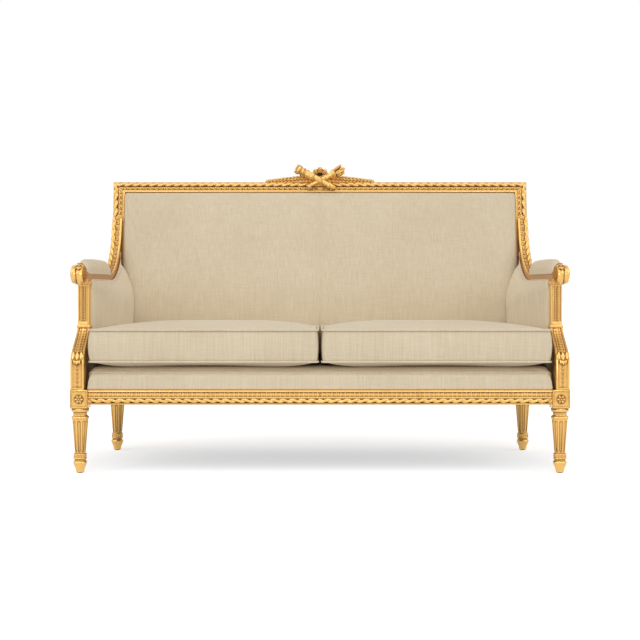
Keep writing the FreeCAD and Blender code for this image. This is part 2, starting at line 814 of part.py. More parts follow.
post_flutes.Direction = (datum(support, "X_Axis"), [""])
bind(post_flutes, Length=flute_span)
post_flutes.setExpression("Occurrences", d.post_flute_count.formula)
support.Tip = post_flutes
put_side(support, d.support_offset, 0, 0)
arm_support_right = fuse("arm_support_right", support, support_tenon("support_foot", 0),
                         post_tenon("support_head", 0))
mirror("arm_support_left", arm_support_right)

# Arm rails: straight over the post, then swept up into the stile

arm_blank = new_body("arm_blank")
high_radius = d.arm_sweep_radius - d.arm_thickness / 2
sweep_sine, sweep_cosine = sine(d.arm_sweep_angle), cosine(d.arm_sweep_angle)
low_v = d.arm_sweep_start + d.arm_low_radius * sweep_sine
low_z = d.arm_sweep_z - d.arm_low_radius * sweep_cosine
high_v = d.arm_sweep_start + high_radius * sweep_sine
high_z = d.arm_sweep_z - high_radius * sweep_cosine
tail_v, tail_z = d.arm_tail * sweep_cosine, d.arm_tail * sweep_sine
pad(arm_blank, "YZ_Plane", [
    (d.arm_front, d.arm_bottom),
    (d.arm_sweep_start, d.arm_bottom),
    (low_v, low_z, d.arm_low_radius, 1),
    (low_v + tail_v, low_z + tail_z),
    (high_v + tail_v, high_z + tail_z),
    (high_v, high_z),
    (d.arm_sweep_start, d.arm_top, high_radius, -1),
    (d.arm_front, d.arm_top),
], d.arm_width)
put_side(arm_blank, d.arm_offset, 0, 0)
behind_stile = box("behind_stile", (d.stile_width + 4 * d.arm_width, d.stile_depth + d.arm_tail, d.stile_top),
                   (d.stile_inner - 2 * d.arm_width, d.crest_rope_depth, 0), put_back)
arm_trimmed = cut("arm_trimmed", arm_blank, stile, behind_stile, post_tenon("arm_mortise", d.joint_clearance))
arm_rail_right = fuse("arm_rail_right", arm_trimmed, scroll_tenon("scroll_stub", 0))
mirror("arm_rail_left", arm_rail_right)

# Scrolled arm ends, tenoned onto the front of the arm rails

scroll = new_body("scroll")
scroll_z = d.arm_bottom + d.scroll_centre_rise
scroll_disc = scroll.newObject("PartDesign::AdditiveCylinder", "scroll_disc")
bind(scroll_disc, Radius=d.scroll_radius, Height=d.scroll_width)
put(scroll_disc, -d.scroll_width / 2, d.scroll_centre_v, scroll_z, Vector(0, 1, 0), 90)
body_box(scroll, "Additive", "neck", (d.post_width, d.arm_front - d.scroll_centre_v, d.arm_thickness),
         (-half_post, d.scroll_centre_v, d.arm_bottom))
put_side(scroll, d.support_offset, 0, 0)
arm_scroll_right = cut("arm_scroll_right", scroll, scroll_tenon("scroll_mortise", d.joint_clearance))
mirror("arm_scroll_left", arm_scroll_right)

# Carved crest.  The quiver and torch cross in front of the crest rail; the backing is hollowed to carry them.


def leaning(body, kind, label, start, lean):
    """A feature of the emblem body, along the lean and begun a distance from the crossing."""
    feature = body.newObject(f"PartDesign::Additive{kind}", f"{body.Name}_{label}")
    put(feature, start * sine(lean), 0, start * cosine(lean), Vector(0, 1, 0), lean)
    return feature


quiver = new_body("quiver")
quiver_lean = d.emblem_lean - 90
quiver_length = d.quiver_top_length + d.quiver_bottom_length
bind(leaning(quiver, "Cone", "case", -d.quiver_bottom_length, quiver_lean), Radius1=d.quiver_tip_radius,
     Radius2=d.quiver_mouth_radius, Height=quiver_length)
bind(leaning(quiver, "Cylinder", "rim", d.quiver_top_length - d.quiver_rim_height, quiver_lean),
     Radius=d.quiver_mouth_radius + d.quiver_rim, Height=d.quiver_rim_height)
put_back(quiver, 0, -d.emblem_set_out, d.back_length + d.emblem_rise)
group("crest_quiver", quiver)

torch = new_body("torch")
torch_lean = 90 - d.emblem_lean
bind(leaning(torch, "Cone", "staff", -d.torch_bottom_length, torch_lean), Radius1=d.torch_tip_radius,
     Radius2=d.torch_mouth_radius, Height=d.torch_bottom_length + d.torch_top_length)
bind(leaning(torch, "Cone", "flame", d.torch_top_length, torch_lean), Radius1=d.torch_mouth_radius,
     Radius2=d.flame_tip_radius, Height=d.flame_length)
bind(leaning(torch, "Sphere", "knop", -d.torch_bottom_length, torch_lean), Radius=d.knop_radius)
put_back(torch, 0, -d.emblem_set_out, d.back_length + d.emblem_rise)
cut("crest_torch", torch, quiver)

backing_blank = box("backing_blank", (2 * d.backing_half_width, d.backing_front + d.backing_rear, d.backing_rise),
                    (-d.backing_half_width, -d.backing_front, d.back_length), put_back)
cut("crest_backing", backing_blank, quiver, torch)

wreath_z = d.back_length + d.backing_rise
wreath_ring = doc.addObject("Part::Torus", "wreath_ring")
bind(wreath_ring, Radius1=d.wreath_radius, Radius2=d.wreath_cord_radius)
wreath_ring.Angle3 = 180
wreath_y = (d.backing_rear - d.backing_front) / 2
put_back(wreath_ring, 0, wreath_y, wreath_z, 90)
roses = []
for place in range(round(d.rose_count.number)):
    rose_angle = 90 + (place - (d.rose_count - 1) / 2) * d.rose_pitch
    rose = doc.addObject("Part::Sphere", f"rose_{place}")
    bind(rose, Radius=d.rose_radius)
    rose_x, rose_rise = d.wreath_radius * cosine(rose_angle), d.wreath_radius * sine(rose_angle)
    # the sphere's seam is turned to the front, clear of the ring
    put(rose, *back_place(rose_x, wreath_y, wreath_z + rose_rise), Vector(0, 0, 1), -90)
    roses.append(rose)
fuse("crest_wreath", wreath_ring, *roses)

spray = new_body("spray")
spray_path = [(0, 0), (d.spray_length, 0), (d.spray_length, d.spray_tip_height)]
for leaf in reversed(range(round(d.spray_leaves.number))):
    share = leaf / d.spray_leaves
    spray_path.append((d.spray_length * share if leaf else 0,
                       d.spray_height - (d.spray_height - d.spray_tip_height) * share, d.spray_leaf_radius, 1))
pad(spray, "XZ_Plane", spray_path, d.spray_thickness)
put_back(spray, d.backing_half_width + d.spray_gap, d.spray_setback + d.spray_thickness / 2, d.back_length)
laurel_spray_right = group("laurel_spray_right", spray)
mirror("laurel_spray_left", laurel_spray_right)

# Webbing and hessian under the seat stuffing, and in the back

straps = []
strap_start = d.front_rail_back - d.strap_landing
for place in range(round(d.seat_strap_count.number)):
    strap_x = (place - (d.seat_strap_count - 1) / 2) * d.seat_strap_pitch
    straps.append(box(f"seat_strap_{place}", (d.strap_width, d.rear_rail_front + d.strap_landing - strap_start,
                                              d.strap_thickness),
                      (strap_x - d.strap_width / 2, strap_start, d.seat_top)))
for place in range(round(d.cross_strap_count.number)):
    offset = (place - (d.cross_strap_count - 1) / 2) * d.cross_strap_pitch
    strap_y = d.front_y + d.leg_spacing / 2 + offset
    half_length = side_x(strap_y) + d.strap_side_landing - d.strap_width / 2 * sine(d.skew)
    straps.append(box(f"cross_strap_{place}", (2 * half_length, d.strap_width, d.strap_thickness),
                      (-half_length, strap_y - d.strap_width / 2, d.seat_top + d.strap_thickness)))
group("seat_webbing", *straps)


def tapered_sheet(name, front_y, rear_y, overlap, z, thickness):
    """A sheet across the seat frame, lapped outward past the side rails' inner faces."""
    body = new_body(name)
    front_x = side_x(front_y) + overlap
    rear_x = side_x(rear_y) + overlap
    pad(body, "XY_Plane", [(-front_x, front_y), (front_x, front_y), (rear_x, rear_y), (-rear_x, rear_y)],
        thickness, symmetric=False)
    return put(body, 0, 0, z)


hessian = tapered_sheet("hessian", d.front_plane + d.hessian_front, d.rear_rail_front - d.strap_landing,
                        d.strap_side_landing - d.hessian_inset, d.webbing_top, d.hessian_thickness)
group("seat_hessian", hessian)
dust_sheet = tapered_sheet("dust_sheet", d.front_plane + d.rail_recess + 2 * d.dust_cover_margin,
                           d.rear_rail_front + d.rail_thickness - d.dust_cover_margin,
                           d.rail_thickness - 2 * d.dust_cover_margin, d.rail_bottom - d.dust_cover_thickness,
                           d.dust_cover_thickness)
notches = []
for corner, leg_x, leg_y in (("front", d.front_leg_x, d.front_y), ("rear", d.rear_leg_x, d.rear_y)):
    notch = grown_box(f"{corner}_notch", (d.leg_block, d.leg_block, d.leg_block_height),
                      (leg_x - d.half_block, leg_y - d.half_block, d.leg_height), d.soft_clearance)
    notches += [notch, mirror(f"{corner}_notch_left", notch)]
cut("dust_cover", dust_sheet, *notches)

back_straps = []
strap_foot = d.lower_rail_rise + d.lower_rail_height
strap_plane = d.lower_rail_setback + d.hessian_thickness
for place in range(round(d.back_strap_count.number)):
    strap_x = (place - (d.back_strap_count - 1) / 2) * d.back_strap_pitch
    back_straps.append(box(f"back_strap_{place}", (d.strap_width, d.strap_thickness, d.stile_top - strap_foot),
                           (strap_x - d.strap_width / 2, strap_plane, strap_foot), put_back))
for place in range(round(d.back_cross_count.number)):
    offset = (place - (d.back_cross_count - 1) / 2) * d.back_cross_pitch
    strap_z = (strap_foot + d.stile_top) / 2 + offset
    back_straps.append(box(f"back_cross_{place}", (2 * d.stile_inner, d.strap_thickness, d.strap_width),
                           (-d.stile_inner, strap_plane + d.strap_thickness, strap_z - d.strap_width / 2),
                           put_back))
group("back_webbing", *back_straps)
box("back_hessian", (2 * d.stile_inner, d.hessian_thickness, d.stile_top - strap_foot),
    (-d.stile_inner, d.lower_rail_setback, strap_foot), put_back)
outside_half = d.stile_inner - d.soft_clearance
box("outside_back_cover", (2 * outside_half, d.outside_cover_thickness,
                           d.stile_top - d.soft_clearance - d.outside_back_rise),
    (-outside_half, d.lower_rail_setback + d.lower_rail_thickness + d.soft_clearance, d.outside_back_rise),
    put_back)

# Arm boards and outside arm covers: the panel that closes each arm below its rail


def arm_panel(name, face, thickness):
    close_v = d.side_length - d.stile_depth / 2 - d.arm_board_rear_gap
    reach = d.arm_sweep_reach
    radius = d.arm_low_radius + d.soft_clearance
    path = [
        (half_panel + d.soft_clearance, d.seat_top),
        (close_v, d.seat_top),
        (d.arm_sweep_start + reach, d.arm_sweep_z - square_root(radius * radius - reach * reach)),
        (d.arm_sweep_start, d.arm_bottom - d.soft_clearance, radius, -1),
        (d.post_rear + d.soft_clearance, d.arm_bottom - d.soft_clearance),
        (d.post_rear + d.soft_clearance, d.post_base),
        (half_panel + d.soft_clearance, d.console_base, d.console_radius, -1),
    ]
    body = new_body(f"{name}_sheet")
    pad(body, "YZ_Plane", path, thickness)
    put_side(body, face + thickness / 2, 0, 0)
    right = group(f"{name}_right", body)
    mirror(f"{name}_left", right)


arm_panel("arm_board", d.arm_board_face, d.arm_board_thickness)
arm_panel("outside_arm_cover", d.arm_board_face + d.arm_board_thickness, d.outside_cover_thickness)

# Soft forms are lofts through closed sections of lines and arcs, worked out from the sheet's numbers

doc.recompute()
n = SimpleNamespace(**{alias: size.number for alias, size in vars(d).items()})


def section(start, *steps):
    """A closed wire from start: each step is a point to go to, or a (via, end) pair for an arc."""
    edges = []
    here = start
    for step in steps:
        if isinstance(step, tuple):
            edges.append(Part.Arc(here, *step).toShape())
            here = step[1]
        else:
            edges.append(Part.LineSegment(here, step).toShape())
            here = step
    if here.distanceToPoint(start) > 1e-6:
        edges.append(Part.LineSegment(here, start).toShape())
    return Part.Wire(edges)


def soft(name, shape):
    feature = doc.addObject("Part::Feature", name)
    feature.Shape = shape
    return feature


def loft(wires):
    return Part.makeLoft(wires, True, True)


def side_point(u, v, z):
    angle = math.radians(n.skew)
    return Vector(n.front_leg_x + u * math.cos(angle) - v * math.sin(angle),
                  n.front_y + u * math.sin(angle) + v * math.cos(angle), z)


def back_point(x, y, z):
    angle = math.radians(n.back_tilt)
    return Vector(x, n.back_y + y * math.cos(angle) + z * math.sin(angle),
                  n.seat_top + z * math.cos(angle) - y * math.sin(angle))


inner_rear_v = n.side_length - n.inner_arm_rear_gap
arm_face_front = side_point(-n.inner_arm_front, n.post_rear, 0)
arm_face_rear = side_point(-n.inner_arm_rear, inner_rear_v, 0)
arm_face_slope = (arm_face_rear.x - arm_face_front.x) / (arm_face_rear.y - arm_face_front.y)
scroll_face = n.front_leg_x + n.support_offset - n.scroll_width / 2 - n.soft_clearance - n.piping_radius / 2
kink_y = arm_face_front.y + (scroll_face - arm_face_front.x) / arm_face_slope


def seat_half_width(y, gap):
    """Half the clear width between the arms at a depth, less a gap."""
    return min(scroll_face, arm_face_front.x + (y - arm_face_front.y) * arm_face_slope) - gap


# Seat deck: stuffed platform with a rolled front edge, in a cover with a skirt on the front rail


def deck_form(inset, bottom):
    front = n.front_plane + n.deck_setback + inset
    rear = n.rear_y - n.deck_rear_gap - inset
    flat = n.front_plane + n.deck_setback + n.deck_roll
    mid = (flat + rear) / 2
    wires = []
    for y in (front, front + 0.1 * n.deck_roll, front + 0.4 * n.deck_roll, flat, max(kink_y, flat + 10), mid,
              (mid + rear) / 2, rear):
        roll = max(0.0, 1 - (y - front) / n.deck_roll) ** 3
        fall = max(0.0, (y - mid) / (rear - mid)) ** 2
        top = n.seat_top + n.deck_rise - inset - (n.deck_rise - n.deck_front_rise) * roll - n.deck_rear_drop * fall
        half = seat_half_width(y, n.deck_side_gap + inset)
        corner = n.deck_corner - inset
        bend = corner * (1 - math.sqrt(0.5))
        wires.append(section(
            Vector(-half, y, bottom), Vector(half, y, bottom), Vector(half, y, top - corner),
            (Vector(half - bend, y, top - bend), Vector(half - corner, y, top)), Vector(corner - half, y, top),
            (Vector(bend - half, y, top - bend), Vector(-half, y, top - corner))))
    return loft(wires)


deck_skirt = Part.makeBox(2 * seat_half_width(n.front_y, n.deck_side_gap), n.cover_thickness,
                          n.stuffing_z - n.seat_top + n.skirt_overlap,
                          Vector(-seat_half_width(n.front_y, n.deck_side_gap), n.front_plane + n.deck_setback,
                                 n.seat_top))
deck_shell = deck_form(0, n.stuffing_z).cut(deck_form(n.cover_thickness, n.stuffing_z - n.cover_thickness))
soft("seat_deck_cover", deck_shell.fuse(deck_skirt))
soft("seat_deck_stuffing", deck_form(n.cover_thickness + n.soft_clearance, n.stuffing_z))

# Back stuffing and cover: fullest just above the cushions, drawn in to the show-wood at the top


def back_form(inset, rear):
    low = n.back_bottom_rise + inset
    high = n.stile_top - n.back_top_clearance - inset
    half = n.stile_inner - n.soft_clearance - inset
    wires = []
    steps = 9
    for step in range(steps + 1):
        z = low + (high - low) * step / steps
        rise = max(0.0, (z - n.back_crown_rise) / (high - n.back_crown_rise))
        tuck = n.back_tuck * max(0.0, (n.back_crown_rise - z) / (n.back_crown_rise - low)) ** 2
        crown = n.back_crown + (n.back_top_crown - n.back_crown) * rise**1.5 - tuck - inset
        edge = n.back_edge + (n.back_top_edge - n.back_edge) * rise**1.2 - tuck - inset
        wires.append(section(back_point(-half, rear, z), back_point(half, rear, z), back_point(half, -edge, z),
                             (back_point(0, -crown, z), back_point(-half, -edge, z))))
    return loft(wires)


back_rear = n.lower_rail_setback - n.soft_clearance
back_shell = back_form(0, back_rear).cut(back_form(n.cover_thickness, back_rear + n.cover_thickness))
soft("back_cover", back_shell)
soft("back_stuffing", back_form(n.cover_thickness + n.soft_clearance, back_rear))

# Inner arms: thin behind the post, thick where they meet the back, tucked under the swept arm rail


def arm_underside(v):
    if v <= n.arm_sweep_start:
        return n.arm_bottom
    return n.arm_sweep_z - math.sqrt(n.arm_low_radius**2 - (v - n.arm_sweep_start) ** 2)


def inner_arm_form(inset, outer, bottom):
    front = n.post_rear + n.soft_clearance + inset
    end = n.side_length - n.inner_arm_end_gap - inset
    steps = 8
    places = sorted([front + (end - front) * step / steps for step in range(steps + 1)] + [n.arm_sweep_start])
    wires = []
    for v in places:
        way = (v - n.post_rear) / (inner_rear_v - n.post_rear)
        face = -n.inner_arm_front - (n.inner_arm_rear - n.inner_arm_front) * way + inset
        top = arm_underside(v) - n.soft_clearance - inset
        lip = n.arm_offset - n.arm_width / 2 + n.inner_arm_lip + inset
        shoulder = top - n.inner_arm_shoulder - n.inner_arm_fall * way - 0.9 * (arm_underside(v) - n.arm_bottom)
        chord_u, chord_z = face - lip, shoulder - top
        bulge = 0.12
        via = side_point(lip + chord_u / 2 + bulge * chord_z, v, top + chord_z / 2 - bulge * chord_u)
        wires.append(section(
            side_point(face, v, bottom), side_point(outer, v, bottom), side_point(outer, v, top),
            side_point(lip, v, top), (via, side_point(face, v, shoulder))))
    across = side_point(1, 0, 0) - side_point(0, 0, 0)
    sweep = Part.makeCylinder(n.arm_low_radius + n.soft_clearance + inset, 4 * n.inner_arm_rear,
                              side_point(-2 * n.inner_arm_rear, n.arm_sweep_start, n.arm_sweep_z), across)
    return loft(wires).cut(sweep)


board_face = n.arm_board_face - n.soft_clearance
back_clear = back_form(-n.soft_clearance, back_rear + n.soft_clearance)
arm_outer = inner_arm_form(0, board_face, n.stuffing_z)
arm_hollow = inner_arm_form(n.cover_thickness, board_face + n.cover_thickness, n.stuffing_z - n.cover_thickness)
arm_filling = inner_arm_form(n.cover_thickness + n.soft_clearance, board_face, n.stuffing_z)
inner_arm_cover_right = soft("inner_arm_cover_right", arm_outer.cut(arm_hollow).cut(back_clear))
mirror("inner_arm_cover_left", inner_arm_cover_right)
inner_arm_stuffing_right = soft("inner_arm_stuffing_right", arm_filling.cut(back_clear))
mirror("inner_arm_stuffing_left", inner_arm_stuffing_right)

# Arm pads: domed rests on the straight run of each arm rail


def arm_pad_form(inset, bottom):
    front = n.arm_front + n.arm_pad_gap + inset
    end = n.arm_sweep_start - inset
    wires = []
    for way, swell in ((0, 0.5), (0.03, 0.78), (0.1, 0.94), (0.3, 1.0), (0.7, 1.0), (0.9, 0.94), (0.97, 0.78),
                       (1, 0.5)):
        v = front + (end - front) * way
        half = (n.arm_pad_width / 2) * (0.7 + 0.3 * swell) - inset
        side = n.arm_top + n.arm_pad_side * swell - inset
        top = n.arm_top + n.arm_pad_height * swell - inset
        left, right = n.arm_offset - half, n.arm_offset + half
        wires.append(section(
            side_point(left, v, bottom), side_point(right, v, bottom), side_point(right, v, side),
            (side_point(n.arm_offset, v, top), side_point(left, v, side))))
    return loft(wires)


pad_foot = n.arm_top + n.soft_clearance
arm_pad_shell = arm_pad_form(0, pad_foot).cut(arm_pad_form(n.cover_thickness, pad_foot - n.cover_thickness))
arm_pad_cover_right = soft("arm_pad_cover_right", arm_pad_shell)
mirror("arm_pad_cover_left", arm_pad_cover_right)
arm_pad_filling = arm_pad_form(n.cover_thickness + n.soft_clearance, pad_foot)
arm_pad_stuffing_right = soft("arm_pad_stuffing_right", arm_pad_filling)
mirror("arm_pad_stuffing_left", arm_pad_stuffing_right)

# Loose seat cushions: crowned top and bottom, swelling boxing, piped edges

welt_low = n.seat_top + n.cushion_bottom_welt
welt_high = n.seat_top + n.cushion_top_welt
cushion_inner = n.cushion_gap / 2 + 2 * n.piping_radius
cushion_side = n.cushion_side_gap + 2 * n.piping_radius
cushion_front = n.front_plane + n.cushion_setback + 2 * n.piping_radius
cushion_back = n.rear_y - n.cushion_rear_gap - 2 * n.piping_radius


def cushion_form(inset):
    first, last = cushion_front + inset, cushion_back - inset
    steps = 10
    places = sorted([first + (last - first) * step / steps for step in range(steps + 1)] + [kink_y])
    stations = [(first - n.cushion_swell, n.cushion_end_inset)]
    stations += [(y, 0) for y in places]
    stations += [(last + n.cushion_swell, n.cushion_end_inset)]
    wires = []
    for y, end_inset in stations:
        way = min(1.0, max(0.0, (y - first) / (last - first)))
        fullness = max(0.04, 1 - abs(2 * way - 1) ** 2.6)
        left = cushion_inner + inset + end_inset
        right = seat_half_width(y, cushion_side + inset) - n.cushion_draw_in * math.sin(math.pi * way) - end_inset
        low = welt_low + inset + end_inset
        high = welt_high - inset - end_inset
        middle, waist = (left + right) / 2, (low + high) / 2
        wires.append(section(
            Vector(left, y, low), (Vector(middle, y, low - n.cushion_belly * fullness), Vector(right, y, low)),
            (Vector(right + n.cushion_swell, y, waist), Vector(right, y, high)),
            (Vector(middle, y, high + n.cushion_crown * fullness), Vector(left, y, high)),
            (Vector(left - n.cushion_swell, y, waist), Vector(left, y, low))))
    return loft(wires)


def rounded_loop(corners, radius):
    """A closed wire of straight runs with each corner rounded to a radius."""
    edges = []
    bends = []
    for before, corner, after in zip(corners[-1:] + corners[:-1], corners, corners[1:] + corners[:1]):
        back, ahead = (before - corner).normalize(), (after - corner).normalize()
        half_angle = back.getAngle(ahead) / 2
        reach = radius / math.tan(half_angle)
        inward = (back + ahead).normalize()
        middle = corner + inward * (radius / math.sin(half_angle) - radius)
        bends.append((corner + back * reach, middle, corner + ahead * reach))
    for bend, following in zip(bends, bends[1:] + bends[:1]):
        edges.append(Part.Arc(*bend).toShape())
        edges.append(Part.LineSegment(bend[2], following[0]).toShape())
    return Part.Wire(edges)


def piping(z):
    offset = n.piping_radius + n.soft_clearance
    left, front, rear = cushion_inner - offset, cushion_front - offset, cushion_back + offset
    edge_x = seat_half_width(cushion_front, cushion_side) + offset
    rear_x = seat_half_width(rear, cushion_side) + offset
    path = rounded_loop([Vector(left, front, z), Vector(edge_x, front, z), Vector(edge_x, kink_y, z),
                         Vector(rear_x, rear, z), Vector(left, rear, z)], offset)
    start = path.Edges[1].valueAt(path.Edges[1].FirstParameter)
    ring = Part.Wire(Part.makeCircle(n.piping_radius, start, path.Edges[1].tangentAt(0)))
    return path.makePipeShell([ring], True, False)


cushion_outer = cushion_form(0)
seat_cushion_cover_right = soft("seat_cushion_cover_right", cushion_outer.cut(cushion_form(n.cover_thickness)))
mirror("seat_cushion_cover_left", seat_cushion_cover_right)
seat_cushion_core_right = soft("seat_cushion_core_right", cushion_form(n.cover_thickness + n.soft_clearance))
mirror("seat_cushion_core_left", seat_cushion_core_right)
cords = Part.makeCompound([piping(welt_low).cut(cushion_outer), piping(welt_high).cut(cushion_outer)])
seat_cushion_piping_right = soft("seat_cushion_piping_right", cords)
mirror("seat_cushion_piping_left", seat_cushion_piping_right)

# Check every feature, then write one STEP file for each node

NODES = [
    "front_leg_left", "front_leg_right", "back_post_left", "back_post_right", "foot_glides",
    "front_seat_rail", "rear_seat_rail", "side_seat_rail_left", "side_seat_rail_right", "centre_stretcher",
    "corner_blocks", "corner_screws", "crest_rail", "lower_back_rail",
    "arm_support_left", "arm_support_right", "arm_rail_left", "arm_rail_right",
    "arm_scroll_left", "arm_scroll_right", "crest_backing", "crest_quiver", "crest_torch", "crest_wreath",
    "laurel_spray_left", "laurel_spray_right", "seat_webbing", "seat_hessian", "seat_deck_stuffing",
    "seat_deck_cover", "dust_cover", "back_webbing", "back_hessian", "back_stuffing", "back_cover",
    "outside_back_cover", "arm_board_left", "arm_board_right", "inner_arm_stuffing_left",
    "inner_arm_stuffing_right", "inner_arm_cover_left", "inner_arm_cover_right", "outside_arm_cover_left",
    "outside_arm_cover_right", "arm_pad_stuffing_left", "arm_pad_stuffing_right", "arm_pad_cover_left",
    "arm_pad_cover_right", "seat_cushion_core_left", "seat_cushion_core_right", "seat_cushion_cover_left",
    "seat_cushion_cover_right", "seat_cushion_piping_left", "seat_cushion_piping_right",
]

doc.recompute()
for feature in doc.Objects:
    if "Invalid" in feature.State or "Error" in feature.State:
        raise RuntimeError(f"{feature.Name} did not compute: {feature.State}")
os.makedirs("parts", exist_ok=True)
for node in NODES:
    shape = doc.getObject(node).Shape
    if shape.isNull() or not shape.isValid() or shape.Volume <= 0:
        raise RuntimeError(f"{node} has no valid solid")
    shape.exportStep(f"parts/{node}.step")
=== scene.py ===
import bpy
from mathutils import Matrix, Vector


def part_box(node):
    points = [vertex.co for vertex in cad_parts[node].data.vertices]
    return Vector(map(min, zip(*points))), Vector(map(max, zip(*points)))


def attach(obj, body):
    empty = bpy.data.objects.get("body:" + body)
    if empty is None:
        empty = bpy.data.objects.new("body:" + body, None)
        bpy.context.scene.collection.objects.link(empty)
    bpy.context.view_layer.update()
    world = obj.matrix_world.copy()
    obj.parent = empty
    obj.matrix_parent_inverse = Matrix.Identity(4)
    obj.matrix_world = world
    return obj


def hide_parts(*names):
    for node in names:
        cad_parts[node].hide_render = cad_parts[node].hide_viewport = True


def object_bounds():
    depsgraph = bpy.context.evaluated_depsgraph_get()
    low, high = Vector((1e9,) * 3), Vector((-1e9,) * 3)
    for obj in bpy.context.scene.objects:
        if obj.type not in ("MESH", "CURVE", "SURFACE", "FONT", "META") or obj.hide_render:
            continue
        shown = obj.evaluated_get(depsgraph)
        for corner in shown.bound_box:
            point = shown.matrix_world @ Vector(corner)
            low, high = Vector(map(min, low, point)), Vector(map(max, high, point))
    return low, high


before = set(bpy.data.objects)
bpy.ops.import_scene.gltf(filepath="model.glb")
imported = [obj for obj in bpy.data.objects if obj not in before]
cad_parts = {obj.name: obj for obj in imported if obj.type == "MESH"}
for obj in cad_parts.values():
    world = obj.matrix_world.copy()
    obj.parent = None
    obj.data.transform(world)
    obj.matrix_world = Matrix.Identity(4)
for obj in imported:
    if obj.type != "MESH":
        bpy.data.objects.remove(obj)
cad_bounds = [list(corner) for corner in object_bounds()]

import math

import bmesh
import bpy
import numpy as np
from mathutils import Matrix, Vector

# Front legs: beech, turned from the square, fluted with a gouge and carved with a rosette on the block.
# The bare wood is coated with gesso and red clay, then gilded and rubbed so that clay shows in the hollows;
# the flutes and rings are darkened further with painted shade.
# The square block takes the tenons of the seat rails and carries the arm support.
leg_low, leg_high = (1000 * np.array(corner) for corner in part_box("front_leg_right"))
post_low = 1000 * np.array(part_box("back_post_right")[0])
block_half = (leg_high[0] - leg_low[0]) / 2
block_bottom = 214
seat_top = leg_high[2]
front_leg_x = leg_low[0] + block_half
front_leg_y = leg_low[1] + block_half
rear_leg_x = post_low[0] + block_half
rear_leg_y = post_low[1] + block_half
leg_sides = 180
shaft_low, shaft_high = 66, 176
shaft_foot, shaft_head = 17.4, 26.6
bead_count = 15
flute_count = 9
flute_low, flute_high = 70, 172
flute_depth = 4.2
flute_share = 0.34
border_width = 6
border_depth = 1.8
petal_count = 6
petal_size = (13.2, 11.0, 4.2)
rosette_radius, rosette_relief = 17.5, 1.35
millimetre = Matrix.Scale(0.001, 4)


class Shape:
    """The points and faces of one carved or sewn form, in millimetres of its own frame."""

    def __init__(self, points, faces):
        self.points = np.asarray(points, float).reshape(-1, 3)
        self.faces = faces

    def __add__(self, other):
        shift = len(self.points)
        moved = [tuple(corner + shift for corner in face) for face in other.faces]
        return Shape(np.vstack((self.points, other.points)), self.faces + moved)

    def placed(self, matrix):
        turn = np.array(matrix)
        return Shape(self.points @ turn[:3, :3].T + turn[:3, 3], self.faces)

    def moved(self, x, y, z):
        return Shape(self.points + np.array((x, y, z)), self.faces)

    def turned(self, axis, degrees):
        return self.placed(Matrix.Rotation(math.radians(degrees), 4, axis))

    def mirrored(self):
        return Shape(self.points * np.array((-1, 1, 1)), [face[::-1] for face in self.faces])


def joined(shapes):
    """Several forms as one."""
    points, faces, shift = [], [], 0
    for shape in shapes:
        points.append(shape.points)
        faces += [tuple(corner + shift for corner in face) for face in shape.faces]
        shift += len(shape.points)
    return Shape(np.vstack(points), faces)


def shell(rings, endless=False):
    """The skin over a row of closed rings, with flat ends, or with its last ring sewn to its first."""
    rings = np.asarray(rings, float)
    count, sides = rings.shape[:2]
    faces = []
    for ring in range(count if endless else count - 1):
        this, after = ring * sides, (ring + 1) % count * sides
        faces += [(this + k, this + (k + 1) % sides, after + (k + 1) % sides, after + k)
                  for k in range(sides)]
    if not endless:
        faces += [tuple(range(sides))[::-1], tuple(range((count - 1) * sides, count * sides))]
    return Shape(rings, faces)


def turned_line(*steps):
    """A turner's profile of (radius, height); a third number bows the line to that point outwards."""
    line = [np.array(steps[0][:2], float)]
    for step in steps[1:]:
        start, end = line[-1], np.array(step[:2], float)
        bow = step[2] if len(step) > 2 else 0
        along = end - start
        out = np.array((along[1], -along[0])) / np.hypot(*along)
        parts = 7 if bow else 1
        for part in range(1, parts + 1):
            way = part / parts
            line.append(start + along * way + out * bow * 4 * way * (1 - way))
    return np.array(line)


def lathe(profile, sides=32, groove=None):
    """A turned form about the Z axis, less the depth of any grooves at each angle and height."""
    angles = np.arange(sides) * 2 * math.pi / sides
    radius = np.repeat(profile[:, :1], sides, axis=1)
    height = np.repeat(profile[:, 1:], sides, axis=1)
    if groove is not None:
        radius = radius - groove(angles[None, :], height, radius)
    return shell(np.stack((radius * np.cos(angles), radius * np.sin(angles), height), axis=2))


def leaf(length, width, height, rows=6, columns=4, tip=0.75):
    """A carved leaf or petal on the XY plane, along X, with a sunk midrib and a pointed end."""
    along = np.linspace(0, 1, rows + 1)
    across = np.linspace(-1, 1, columns + 1)
    spread = np.clip(np.sin(math.pi * along ** tip), 0.06, 1) ** 0.8
    x = np.repeat(along[:, None] * length, columns + 1, axis=1)
    y = across[None, :] * spread[:, None] * width / 2
    rise = (1 - 0.75 * np.abs(across[None, :]) ** 2.2) - 0.35 * np.exp(-(across[None, :] / 0.25) ** 2)
    z = height * rise * (0.35 + 0.65 * np.sin(math.pi * np.clip(along, 0.04, 0.96)) ** 0.6)[:, None]
    top = np.stack((x, y, z), axis=2)
    low = np.stack((x, y * 0.94, np.full_like(x, -height * 0.5)), axis=2)
    ring = np.concatenate((top, low[:, ::-1]), axis=1)
    return shell(ring)


def rounded_box(low, high, radius=1.5):
    """A planed block with softened edges."""
    low, high = np.array(low, float), np.array(high, float)

    def ring(inset, z):
        x0, y0 = low[:2] + inset
        x1, y1 = high[:2] - inset
        r = radius
        return [(x0 + r, y0, z), (x1 - r, y0, z), (x1, y0 + r, z), (x1, y1 - r, z),
                (x1 - r, y1, z), (x0 + r, y1, z), (x0, y1 - r, z), (x0, y0 + r, z)]

    levels = ((radius, low[2]), (0, low[2] + radius), (0, high[2] - radius), (radius, high[2]))
    return shell([ring(*level) for level in levels])


